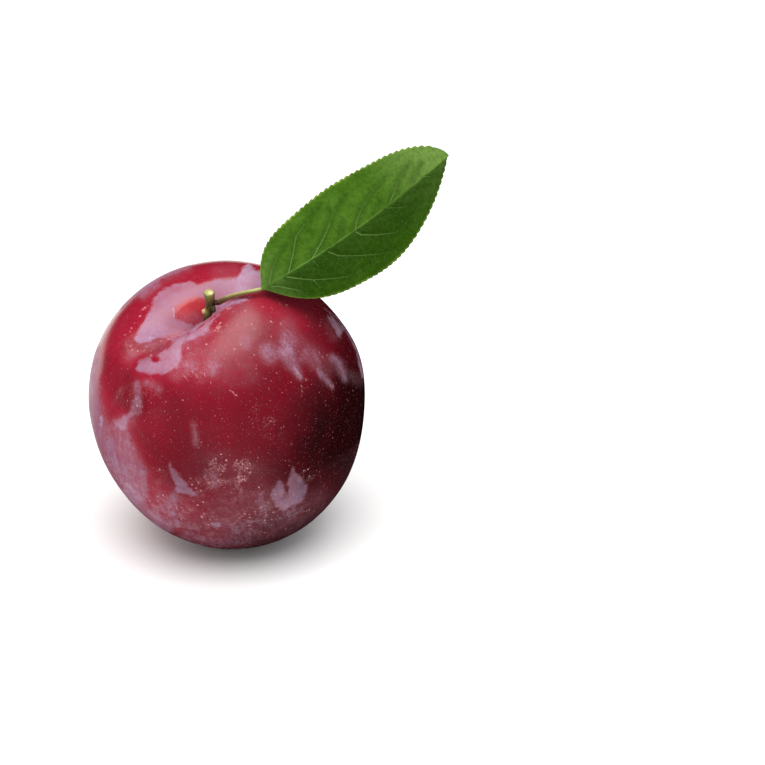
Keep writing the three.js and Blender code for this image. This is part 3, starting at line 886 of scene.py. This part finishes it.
# %% Skin colour and gloss
thick_tone = layers(tree, LILAC, (ease(tree, slow, 0.35, 0.7, 0.0, 0.7), MAUVE))
wax_tone = layers(tree, HAZE_AND_SHEEN_PINK, (ease(tree, wax, 0.12, 0.4), thick_tone))
colour = layers(
    tree, red, (wax, wax_tone),
    (times(tree, pores, ease(tree, wax, 0.0, 0.6, 0.6, 0.25)), PORE_PINK),
    (times(tree, marks, 0.7), MARK_PINK), (times(tree, bold, 0.6), PORE_PINK))
gloss = plus(tree, ease(tree, wax, 0.0, 0.7, 0.2, 0.56), ease(tree, quick, 0.0, 1.0, -0.04, 0.04),
             painted(tree, "dull"))
height = use_group(tree, relief_group, place, Size=0.45, Height=0.3, Dents=0.4)
height = plus(tree, height, times(tree, pores, 0.4), times(tree, thick, 0.25))
feed(tree, shader, {"Base Color": colour, "Roughness": gloss, "Normal": bumped(tree, height, 0.35, 0.05),
                    "IOR": 1.45, "Specular IOR Level": 0.6})
skin.data.materials.append(skin_paint)
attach(skin, "root")
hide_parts("fruit")
print("skin finished with", len(tree.nodes), "nodes")


# %% [markdown]
# ## The stalk
# The stalk is a short woody twig, cut across at its top. It has a spur below, a bud, and the knot
# where the leaf grew. A lathe-like spin would make it too regular. Here a circle is extruded ring
# by ring up a gently bent path and made wider or narrower at each ring, as one would by hand. The
# spur, bud, knot and leaf scar are small pieces of their own, and a remesh fuses them all.

# %% Stalk tools
def bent_path(points, steps):
    """Places along a smooth path through the points, the first and the last included."""
    points = [Vector(p) for p in points]
    points = [points[0] * 2 - points[1], *points, points[-1] * 2 - points[-2]]
    path = []
    for i in range(1, len(points) - 2):
        before, start, end, after = points[i - 1:i + 3]
        for step in range(steps):
            t = step / steps
            path.append(0.5 * (2 * start + (end - before) * t
                               + (2 * before - 5 * start + 4 * end - after) * t ** 2
                               + (3 * start - before - 3 * end + after) * t ** 3))
    return [*path, points[-2]]


def grow_limb(name, path, radius_at, sides):
    """Extrudes a round limb along a path in millimetres, ring by ring."""
    path = [p * MM for p in path]
    radii = [radius_at(i / (len(path) - 1)) * MM for i in range(len(path))]
    turn = (path[-1] - path[0]).to_track_quat("Z", "Y").to_euler()
    limb = add_piece(name, bpy.ops.mesh.primitive_circle_add, vertices=sides, radius=radii[0],
                     fill_type="NGON", location=path[0], rotation=turn)
    bpy.ops.object.mode_set(mode="EDIT")
    for start, end, before, after in zip(path, path[1:], radii, radii[1:]):
        bpy.ops.mesh.extrude_region_move(TRANSFORM_OT_translate={"value": end - start})
        bpy.ops.transform.resize(value=(after / before,) * 3, center_override=end)
    bpy.ops.mesh.select_all(action="SELECT")
    bpy.ops.mesh.normals_make_consistent(inside=False)
    bpy.ops.object.mode_set(mode="OBJECT")
    bpy.ops.object.transform_apply(location=True, rotation=True, scale=True)
    return limb


def grow_ball(name, from_pit, radius, stretch):
    """A small round growth, a little longer one way than the others."""
    centre = (PIT + Vector(from_pit)) * MM
    ball = add_piece(name, bpy.ops.mesh.primitive_ico_sphere_add, subdivisions=3, radius=radius * MM,
                     location=centre, scale=stretch)
    bpy.ops.object.transform_apply(location=True, rotation=True, scale=True)
    return ball


def grow_together(name, parts, grain):
    """Joins parts into one piece and fuses them into one closed skin."""
    bpy.ops.object.select_all(action="DESELECT")
    for part in parts:
        part.select_set(True)
    bpy.context.view_layer.objects.active = parts[0]
    bpy.ops.object.join()
    whole = bpy.context.object
    whole.name = name
    apply_modifier(whole, "REMESH", "fuse", mode="VOXEL", voxel_size=grain)
    apply_modifier(whole, "SMOOTH", "soften", factor=0.5, iterations=4)
    bpy.ops.object.shade_smooth()
    return whole


# %% Stalk shape
STALK_RADIUS = 0.86
CUT_RADIUS = 1.15
CUT_ROUNDING = 0.2
SPUR_RADIUS = 0.6
SPUR_SWELL = 0.16
SPUR_ROUNDING = 0.25
FUSE_GRAIN = 0.1 * MM

stalk_turns = [(-0.25, 0.15, 0.35), (0.05, -1.25, 4.0), (0.95, -2.7, 8.3), (1.0, -3.9, 11.7)]
spur_turns = [(0.7, -1.7, 5.2), (0.1, -1.95, 6.1), (-0.6, -2.1, 6.9)]
stalk_path = [PIT + p for p in bent_path(stalk_turns, 7)]
spur_path = [PIT + p for p in bent_path(spur_turns, 5)]


def stalk_radius(share):
    """Slim in the middle, wider at the cut, with its rim rounded off."""
    flare = (CUT_RADIUS - STALK_RADIUS) * float(rise(share, 0.66, 0.93))
    return STALK_RADIUS + flare - CUT_ROUNDING * float(rise(share, 0.97, 1.0))


def spur_radius(share):
    """A stub with a swollen, rounded end."""
    swell = SPUR_SWELL * math.sin(math.pi * share)
    return SPUR_RADIUS + swell - SPUR_ROUNDING * float(rise(share, 0.75, 1.0))


shaft = grow_limb("shaft", stalk_path, stalk_radius, 24)
spur = grow_limb("spur", spur_path, spur_radius, 16)
knot = grow_ball("knot", (2.2, -2.9, 8.9), 0.66, (1.5, 0.9, 0.9))
bud = grow_ball("bud", (1.75, -3.2, 7.5), 0.55, (0.9, 1.0, 1.5))
scar = grow_ball("scar", (0.2, -2.35, 5.6), 0.42, (1.2, 0.8, 0.9))
twig = grow_together("stalk_twig", [shaft, spur, knot, bud, scar], FUSE_GRAIN)
print("stalk:", len(twig.data.polygons), "faces")

# %% Stalk bark
BARK_RIDGE = 0.05 * MM
RIDGE_WIDTH = 0.32 * MM
RIDGE_SQUEEZE = 0.18
WOOD_CORE = Vector((0.25, -0.2, 0.0))
KNOT_FACE = Vector((2.3, -3.0, 8.8))

rows = places(twig)
cut_way = np.array((stalk_path[-1] - stalk_path[-2]).normalized())
past_cut = rows / MM - np.array(stalk_path[-1])
from_cut = past_cut @ cut_way
from_axis = np.linalg.norm(past_cut - from_cut[:, None] * cut_way, axis=1)
from_core = np.linalg.norm(past_cut - np.array(WOOD_CORE), axis=1)
from_spur = np.linalg.norm(rows / MM - np.array(spur_path[-1]), axis=1)
from_knot = np.linalg.norm(rows / MM - np.array(PIT + KNOT_FACE), axis=1)
cut_face = rise(from_cut, -0.22, -0.08) * fall(from_axis, 1.3, 1.6)
ridges = clouds(rows * np.array([1, 1, RIDGE_SQUEEZE]), RIDGE_WIDTH, seed=5) * (1 - cut_face)
move_to(twig, rows + directions(twig) * (ridges * BARK_RIDGE)[:, None])
paint(twig, "cut_face", cut_face)
paint(twig, "cut_core", fall(from_core, 0.35, 0.75))
paint(twig, "young", np.maximum(fall(from_spur, 0.6, 2.2), 0.55 * rise(from_cut, -4.0, -0.6)))
paint(twig, "spur_tip", fall(from_spur, 0.5, 0.95))
paint(twig, "brown", fall(from_knot, 0.6, 1.3))
print("share of the stalk's points on the cut:", round(float(cut_face.mean()), 3))

# %% [markdown]
# ## Bark
# Young bark is smooth and green where the light reaches it and brown where it is older, with fine
# ridges along it. The cut shows pale wood inside a green ring. Each finish could be a material of
# its own on some of the faces, but then it would end in a hard step. Their places were painted on
# the points instead, so one material chooses the colours and they run into each other.

# %% Bark material
BARK_OLIVE = (0.10, 0.09, 0.016, 1)
BARK_DARK = (0.022, 0.016, 0.004, 1)
YOUNG_GREEN = (0.30, 0.27, 0.06, 1)
CUT_GREEN = (0.34, 0.33, 0.09, 1)
CUT_WOOD = (0.62, 0.56, 0.27, 1)
TIP_TAN = (0.62, 0.34, 0.19, 1)
KNOT_BROWN = (0.045, 0.012, 0.008, 1)

bark_paint, tree, shader, place = new_material("stalk_bark")
along_bark = stretched(tree, place, 0.2)
fibres = use_group(tree, cloud_group, along_bark, Size=0.35, Detail=4.0, Contrast=2.2)
patches = use_group(tree, cloud_group, place, Size=1.4, Detail=3.0, Contrast=2.0)
bark_pores = use_group(tree, pore_group, place, Spacing=0.8, Size=0.1, Share=0.5)
wood = times(tree, painted(tree, "cut_core"), ease(tree, patches, 0.0, 0.6, 0.6, 1.0))
cut_colour = layers(tree, CUT_GREEN, (wood, CUT_WOOD))
colour = layers(
    tree, BARK_DARK,
    (ease(tree, fibres, 0.25, 0.75), BARK_OLIVE),
    (times(tree, painted(tree, "young"), ease(tree, patches, 0.1, 0.8, 0.5, 1.0)), YOUNG_GREEN),
    (times(tree, bark_pores, 0.6), TIP_TAN),
    (painted(tree, "brown"), KNOT_BROWN),
    (painted(tree, "spur_tip"), TIP_TAN),
    (painted(tree, "cut_face"), cut_colour))
height = use_group(tree, relief_group, along_bark, Size=0.2, Height=1.0, Dents=0.5)
feed(tree, shader, {"Base Color": colour, "Roughness": ease(tree, fibres, 0.0, 1.0, 0.5, 0.75),
                    "Normal": bumped(tree, height, 0.5, 0.08)})
twig.data.materials.clear()
twig.data.materials.append(bark_paint)
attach(twig, "root")
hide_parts("stalk")
print("bark finished with", len(tree.nodes), "nodes")

# %% [markdown]
# ## The leaf's blade
# A plum leaf is one thin sheet, folded a little along its midrib, with fine rounded teeth that
# point to its tip. Cutting the outline from a picture would leave it flat and coarse. Instead a
# fine grid is laid along the midrib and every point is moved by a rule: first out to the margin
# and its teeth, then up or down for the arch, the fold and the margin's slow waves. Where a value
# comes in pairs, the right half of the blade has the first and the left half the second.

# %% Blade rule
BLADE_FOOT = Vector((8.1, -15.4, 65.3))
BLADE_TIP = Vector((47.2, 12.0, 85.6))
BLADE_LENGTH = (BLADE_TIP - BLADE_FOOT).length
HALF_WIDTHS = (10.3, 11.8)
LEAST_HALF_WIDTH = 0.32
SWELLS = (0.128, 0.118)
BLUNTNESSES = (1.06, 0.5)
WIDEST_AT = 0.4
TEETH = 38
TOOTH_DEPTHS = (0.2, 0.42)
TOOTH_PEAK = 0.7
TOOTH_ROUNDING = 0.6
TOOTH_LEAN = 0.6
SIDE_BOW = 2.1
ARCH = 1.8
FOLD_ROUNDING = 0.6
WAVE_HEIGHT = 0.45
WAVE_PACE = 15
WAVE_STARTS = (2.4, 0.5)
CUPPING = 0.012
TIP_DROP = 1.4
BLADE_ROLL = math.radians(10)
BLADE_DROOP = math.radians(10)


def tooth_height(share):
    """A slow rise to a rounded point and a quick fall, once for each tooth."""
    part = (share * TEETH) % 1
    climb = np.clip(part / TOOTH_PEAK, 0, 1) ** TOOTH_ROUNDING
    return climb * fall(part, 0.6, 1.0)


def blade_points(share, side):
    """The blade's upper face in its own axes: share from foot to tip, side from -1 to 1."""
    widest, swell, bluntness, depth, wave_start = (
        np.where(side > 0, left, right)
        for right, left in (HALF_WIDTHS, SWELLS, BLUNTNESSES, TOOTH_DEPTHS, WAVE_STARTS))
    base = 1 - np.exp(-share / swell)
    past = np.clip(share - WIDEST_AT, 0, None) / (1 - WIDEST_AT)
    half = np.maximum(LEAST_HALF_WIDTH, widest * base * (1 - past ** 2) ** bluntness)
    toothed = rise(share, 0.01, 0.09) * fall(share, 0.95, 1.0) * rise(np.abs(side), 0.86, 1.0)
    tooth = depth * tooth_height(share) * toothed
    offset = np.sign(side) * (np.abs(side) * half + tooth)
    reach = np.abs(offset)
    bow = 4 * share * (1 - share)
    fold = (np.hypot(reach, FOLD_ROUNDING) - FOLD_ROUNDING) * math.tan(BLADE_DROOP)
    wave = WAVE_HEIGHT * (reach / widest) ** 2 * np.sin(WAVE_PACE * share + wave_start)
    up = ARCH * bow - fold + wave - CUPPING * reach ** 2 - TIP_DROP * rise(share, 0.7, 1) ** 2
    along = share * BLADE_LENGTH + TOOTH_LEAN * tooth
    return np.stack([along, offset - SIDE_BOW * bow, up], axis=1), offset


# %% Blade axes
blade_x = (BLADE_TIP - BLADE_FOOT).normalized()
blade_z = (blade_x * blade_x.dot(look) - look).normalized()
blade_z.rotate(Matrix.Rotation(-BLADE_ROLL, 3, blade_x))
blade_y = blade_z.cross(blade_x)
blade_turn = np.array([blade_x, blade_y, blade_z])
print("blade length in mm:", round(BLADE_LENGTH, 1))

# %% Blade sheet
COLUMNS = TEETH * 8
ROWS = 92
blade = add_piece("leaf_blade", bpy.ops.mesh.primitive_grid_add, x_subdivisions=COLUMNS,
                  y_subdivisions=ROWS, size=2)
rows = places(blade)
share, side = (rows[:, 0] + 1) / 2, rows[:, 1]
sheet, offset = blade_points(share, side)
move_to(blade, (sheet @ blade_turn + np.array(BLADE_FOOT)) * MM)
print("blade sheet:", len(blade.data.polygons), "faces")

# %% [markdown]
# ## Veins
# Veins carry the leaf's water. The midrib runs down the fold, and side veins leave it in pairs and
# bend towards the tip. They are sunk into the upper face and stand out below. Each point stores
# how far it is from the nearest vein, so the same lines shape the sheet and colour it. A line's
# points are placed in the picture, each with the half width of the vein there.

# %% Vein lines
lower_veins = [
    [(287, 277, 0.5), (300, 279, 0.4), (313, 280, 0.3), (329, 279, 0.3), (347, 277, 0.2), (361, 270, 0),
     (370, 262, -1)],
    [(313, 280, 0.3), (320, 287, 0.1), (325, 295, -1)],
    [(271, 287, 0.2), (278, 286.5, 0.3), (286, 288, 0.3), (300, 291, 0.2), (311, 293, -1)],
    [(313, 261, 0.3), (318, 266, 0.1), (322, 270, -1)],
    [(328, 252, 0.4), (339, 256, 0.4), (352, 256, 0.3), (371, 255, 0.3), (386, 253, 0.1), (398, 248, -1)],
    [(351, 257, 0), (351, 278, -1)],
    [(356, 232, 0.5), (361, 235, 0.5), (377, 235, 0.4), (396, 233, 0.2), (406, 223, 0), (413, 214, -1)],
    [(396, 233, 0), (405, 229, -1)],
    [(386, 208, 0.3), (398, 208, 0.2), (411, 206, 0), (421, 201, -1)],
    [(422, 176, 0.3), (430, 177, 0.1), (439, 175, -1)],
    [(403, 190, 0.1), (414, 190, 0), (428, 186, -1)],
]
upper_veins = [
    [(269, 284, 0.3), (272, 270, 0.1), (278, 256, 0), (285, 246, -1)],
    [(288, 275, 0.4), (293, 254, 0.3), (296, 237, 0.3), (303, 226, 0.1), (312, 216, 0), (320, 205, -1)],
    [(312, 259, 0.5), (320, 245, 0.4), (327, 231, 0.3), (332, 216, 0.1), (338, 206, 0), (345, 196, -1)],
    [(332, 216, 0), (328, 208, -1)],
    [(320, 245, 0.1), (313, 252, 0), (309, 255, -1)],
    [(338, 246, 0.2), (341, 232, 0), (342, 222, -1)],
    [(355, 232, 0.4), (357, 220, 0.3), (362, 208, 0.2), (371, 193, 0.1), (379, 184, 0), (386, 176, -1)],
    [(374, 219, 0.1), (377, 208, 0), (380, 200, -1)],
    [(390, 202, 0.4), (394, 193, 0.3), (398, 181, 0.1), (405, 170, 0), (410, 163, -1)],
    [(412, 183, 0.1), (416, 172, 0), (421, 163, -1)],
    [(296, 237, 0), (290, 236, -1)],
    [(303, 226, 0), (311, 232, -1)],
]
print("side veins:", len(lower_veins) + len(upper_veins))

# %% Vein distances
LEAF_PICTURE_TO_MM = 1 / 4.75
FAR_FROM_VEIN = 8.0
QUILT_RISE = 0.34
QUILT_WIDTH = 1.7
VEIN_SINK = 0.05
RIB_HALF = 0.12
RIB_TAPER = 0.07
RIB_SINK = 0.14
RIB_RISE = 0.05
PUCKER_RISE = 0.05
PUCKER_SIZE = 1.7
SHEET_RISE = 0.16

leaf_spots = picture_places(places(blade))
to_vein_core = np.full(len(leaf_spots), FAR_FROM_VEIN)
for lines, on_side in ((lower_veins, offset < 0.1), (upper_veins, offset > -0.1)):
    for line in lines:
        off = np.where(on_side, outside_line(leaf_spots, line) * LEAF_PICTURE_TO_MM, FAR_FROM_VEIN)
        to_vein_core = np.minimum(to_vein_core, off)
to_side_vein = np.maximum(to_vein_core, 0)
to_midrib = np.abs(offset)
rib_half = RIB_HALF - RIB_TAPER * share
inside_margin = fall(np.abs(side), 0.75, 1.0)
to_vein = np.minimum(to_side_vein, np.maximum(to_midrib - rib_half, 0))
flat_place = np.stack([sheet[:, 0], offset, share * 0], axis=1)
quilt = QUILT_RISE * (1 - bell(to_vein, QUILT_WIDTH)) * inside_margin
puckers = PUCKER_RISE * clouds(flat_place, PUCKER_SIZE, seed=7) * inside_margin
sink = VEIN_SINK * bell(to_side_vein, 0.3) + RIB_SINK * bell(to_midrib, 0.7)
lift = SHEET_RISE + quilt + puckers - sink + RIB_RISE * bell(to_midrib, 0.2)
move_to(blade, places(blade) + np.array(blade_z) * (lift * MM)[:, None])
print("blade lifted by", round(float(lift.min()), 2), "to", round(float(lift.max()), 2), "mm")

# %% Blade thickness
THICKEST = 1.1
BLADE_THICKNESS = 0.28
RIB_THICKNESS = 0.8
VEIN_THICKNESS = 0.22
MARGIN_SCALE = 10

rib_width = 0.62 - 0.35 * share
rib = RIB_THICKNESS * bell(to_midrib, rib_width) * (1 - share / 2)
thick_here = BLADE_THICKNESS + rib + VEIN_THICKNESS * bell(to_side_vein, 0.35)
paint(blade, "midrib", to_midrib - rib_half)
paint(blade, "side_vein", to_vein_core)
paint(blade, "margin", (1 - np.abs(side)) * MARGIN_SCALE)
paint(blade, "blade_place", flat_place)
paint(blade, "share", share)
group = blade.vertex_groups.new(name="thickness")
for i, weight in enumerate(np.clip(thick_here / THICKEST, 0, 1)):
    group.add([i], float(weight), "REPLACE")
apply_modifier(blade, "SOLIDIFY", "thickness", thickness=THICKEST * MM, offset=-1,
               vertex_group="thickness", material_offset=1, use_even_offset=False)
bpy.ops.object.shade_smooth()
print("blade:", len(blade.data.polygons), "faces")

# %% [markdown]
# ## Leaf green
# A leaf's upper face is a dull dark green, paler along the veins and yellow at the margin. Painted
# shade darkens the blade's right half below the midrib, less towards its margin, and the green
# beside each side vein, and the paler tip is partly painted sheen. A net of tiny veins fills the
# spaces. One colour all over would look like paper, and a pattern on the place in the room would cut
# across the folds. So the net reads the place painted on the blade and follows the sheet. The back
# gets the same veins in paler greens.

# %% Leaf greens
MARGIN_YELLOW = (0.16, 0.25, 0.03, 1)
RIB_PALE = (0.15, 0.25, 0.07, 1)
face_greens = {"dark": (0.008, 0.029, 0.0003, 1), "mid": (0.024, 0.074, 0.001, 1),
               "light": (0.060, 0.137, 0.011, 1), "tip": (0.125, 0.215, 0.045, 1),
               "vein": (0.15, 0.26, 0.07, 1)}
back_greens = {"dark": (0.09, 0.16, 0.05, 1), "mid": (0.13, 0.22, 0.08, 1),
               "light": (0.17, 0.27, 0.10, 1), "tip": (0.17, 0.27, 0.10, 1),
               "vein": (0.24, 0.34, 0.14, 1)}
FACE_ROUGH = 0.45
BACK_ROUGH = 0.65


def leaf_material(name, greens, rough):
    """Leaf green in its own tones and with its own roughness."""
    made, tree, shader, _ = new_material(name)
    flat = painted(tree, "blade_place", "Vector")
    along = painted(tree, "share")
    across = put(tree, "SeparateXYZ", {0: flat}).outputs["Y"]
    side_vein = painted(tree, "side_vein")
    slow = use_group(tree, cloud_group, flat, Size=7.0, Detail=3.0, Contrast=1.8)
    fine = use_group(tree, cloud_group, flat, Size=0.9, Detail=5.0, Contrast=1.8)
    wide_net = use_group(tree, net_group, flat, Spacing=1.5, Width=0.1)
    close_net = use_group(tree, net_group, flat, Spacing=0.5, Width=0.06)
    specks = use_group(tree, pore_group, flat, Spacing=0.8, Size=0.07, Share=0.25)
    # Painted shade: the blade's right half, below the midrib, is laid dark green.
    shaded_half = ease(tree, across, -0.6, 0.1, 1.0, 0.0)
    # Paler towards the tip, most on the left half: partly the leaf's own tone, partly painted sheen.
    tip = times(tree, ease(tree, along, 0.62, 0.95), ease(tree, shaded_half, 0.0, 1.0, 0.8, 0.15))
    # Painted light: the right half is laid lighter again towards its margin.
    lit_lower_edge = times(tree, ease(tree, across, -9.0, -2.5, 0.5, 0.0), ease(tree, slow, 0.2, 0.8, 0.6, 1.2))
    margin = times(tree, ease(tree, painted(tree, "margin"), 0.05, 0.6, 1.0, 0.0),
                   ease(tree, slow, 0.3, 0.65, 0.35, 1.0), ease(tree, across, -4.0, 3.0, 0.45, 1.0))
    rib = times(tree, ease(tree, painted(tree, "midrib"), -0.09, 0.04, 1.0, 0.0),
                ease(tree, along, 0.05, 0.2, 0.1, 0.58), ease(tree, slow, 0.3, 0.6, 0.3, 1.0),
                ease(tree, along, 0.5, 0.95, 1.0, 0.35))
    colour = layers(
        tree, greens["mid"],
        (slow, greens["light"]),
        (times(tree, shaded_half, 0.82), greens["dark"]),
        (tip, greens["tip"]),
        (lit_lower_edge, greens["mid"]),
        (ease(tree, along, 0.02, 0.16, 0.35, 0.0), greens["tip"]),
        # Painted shade: darker green in the dips beside each side vein.
        (ease(tree, side_vein, 0.05, 1.5, 0.42, 0.0), greens["dark"]),
        (ease(tree, fine, 0.3, 0.9, 0.0, 0.4), greens["dark"]),
        (times(tree, close_net, 0.03), greens["vein"]),
        (times(tree, wide_net, 0.05), greens["vein"]),
        (margin, MARGIN_YELLOW),
        (ease(tree, side_vein, -0.14, 0.10, 0.8, 0.0), greens["vein"]),
        (rib, RIB_PALE),
        (times(tree, specks, 0.3), greens["vein"]))
    height = use_group(tree, relief_group, flat, Size=0.3, Height=0.5, Dents=0.6)
    height = calc(tree, "SUBTRACT", height, times(tree, wide_net, 0.3), times(tree, close_net, 0.25))
    rough = ease(tree, fine, 0.0, 1.0, rough - 0.06, rough + 0.06)
    feed(tree, shader, {"Base Color": colour, "Roughness": rough, "Normal": bumped(tree, height, 0.5, 0.08),
                        "IOR": 1.42, "Specular IOR Level": 0.02})
    return made


# %% Leaf material
blade.data.materials.clear()
blade.data.materials.append(leaf_material("leaf_face", face_greens, FACE_ROUGH))
blade.data.materials.append(leaf_material("leaf_back", back_greens, BACK_ROUGH))
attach(blade, "root")
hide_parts("leaf")
print("leaf finishes:", [finish.name for finish in blade.data.materials])

# %% [markdown]
# ## The leaf's own stalk
# The leaf hangs on a thin round stalk that bends a lot from the knot to the blade. Extruding rings
# would need a turn at each one. A curve with a round bevel keeps its section square to its path,
# so the path is drawn as a curve, given a radius at each point, and then made a mesh.

# %% Leaf stalk
LEAF_STALK_RADIUS = 0.5
leaf_stalk_points = [  # x, y and z in millimetres, and the share of the radius
    (-1.55, -11.15, 60.35, 1.25), (-0.75, -11.3, 60.75, 1.3), (0.1, -12.8, 61.9, 1.1),
    (1.75, -14.6, 63.25, 1.0), (3.85, -15.75, 64.35, 0.95), (5.7, -15.95, 64.85, 0.98),
    (7.6, -15.3, 64.9, 0.95), (10.2, -13.6, 65.3, 0.55),
]
stem = add_piece("leaf_stalk", bpy.ops.curve.primitive_nurbs_path_add, location=(0, 0, 0))
curve = stem.data
curve.splines.clear()
curve.dimensions = "3D"
track = curve.splines.new("NURBS")
track.points.add(len(leaf_stalk_points) - 1)
for point, (x, y, z, radius) in zip(track.points, leaf_stalk_points):
    point.co = (x * MM, y * MM, z * MM, 1)
    point.radius = radius
track.use_endpoint_u = True
track.order_u = 4
curve.resolution_u = 8
curve.bevel_depth = LEAF_STALK_RADIUS * MM
curve.bevel_resolution = 5
curve.use_fill_caps = True
pick(stem)
bpy.ops.object.convert(target="MESH")
stem = bpy.context.object
bpy.ops.object.mode_set(mode="EDIT")
bpy.ops.mesh.select_all(action="SELECT")
bpy.ops.mesh.remove_doubles(threshold=MERGE)
bpy.ops.mesh.normals_make_consistent(inside=False)
bpy.ops.object.mode_set(mode="OBJECT")
bpy.ops.object.shade_smooth()
print("leaf stalk:", len(stem.data.polygons), "faces")

# %% [markdown]
# ## The leaf stalk's colours
# The leaf's stalk is laid lighter green on its upper side as painted light and darker brown below as
# painted shade, and rusty at its old end. A painted picture wrapped round it would show its seam. Here
# its upper side and its old end are painted on its points, and a cloudy tone breaks up the colours
# between them.

# %% Leaf stalk material
SHADED_UNDERSIDE_BROWN = (0.17, 0.12, 0.03, 1)
LIT_TOP_GREEN = (0.42, 0.42, 0.14, 1)
RUSTY = (0.20, 0.09, 0.035, 1)
OLD_BROWN = (0.12, 0.035, 0.02, 1)
LIT_FACING = np.array([0.1, 0.3, 0.95])

paint(stem, "old_end", fall(places(stem)[:, 0], -1.0 * MM, 0.9 * MM))
# Painted light and shade: points that face up get the lit green, the others the shaded brown.
paint(stem, "upper", rise(directions(stem) @ LIT_FACING, -0.3, 0.8))
stem_paint, tree, shader, place = new_material("leaf_stalk")
tone = use_group(tree, cloud_group, place, Size=1.2, Detail=4.0, Contrast=1.8)
colour = layers(
    tree, SHADED_UNDERSIDE_BROWN, (painted(tree, "upper"), LIT_TOP_GREEN),
    (ease(tree, tone, 0.35, 0.9, 0.0, 0.4), RUSTY), (times(tree, painted(tree, "old_end"), 0.6), OLD_BROWN))
height = use_group(tree, relief_group, place, Size=0.25, Height=0.6, Dents=0.4)
feed(tree, shader, {"Base Color": colour, "Roughness": ease(tree, tone, 0.0, 1.0, 0.4, 0.6),
                    "Normal": bumped(tree, height, 0.4, 0.05)})
stem.data.materials.clear()
stem.data.materials.append(stem_paint)
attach(stem, "root")
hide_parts("leaf")
print("leaf stalk finished with", len(tree.nodes), "nodes")
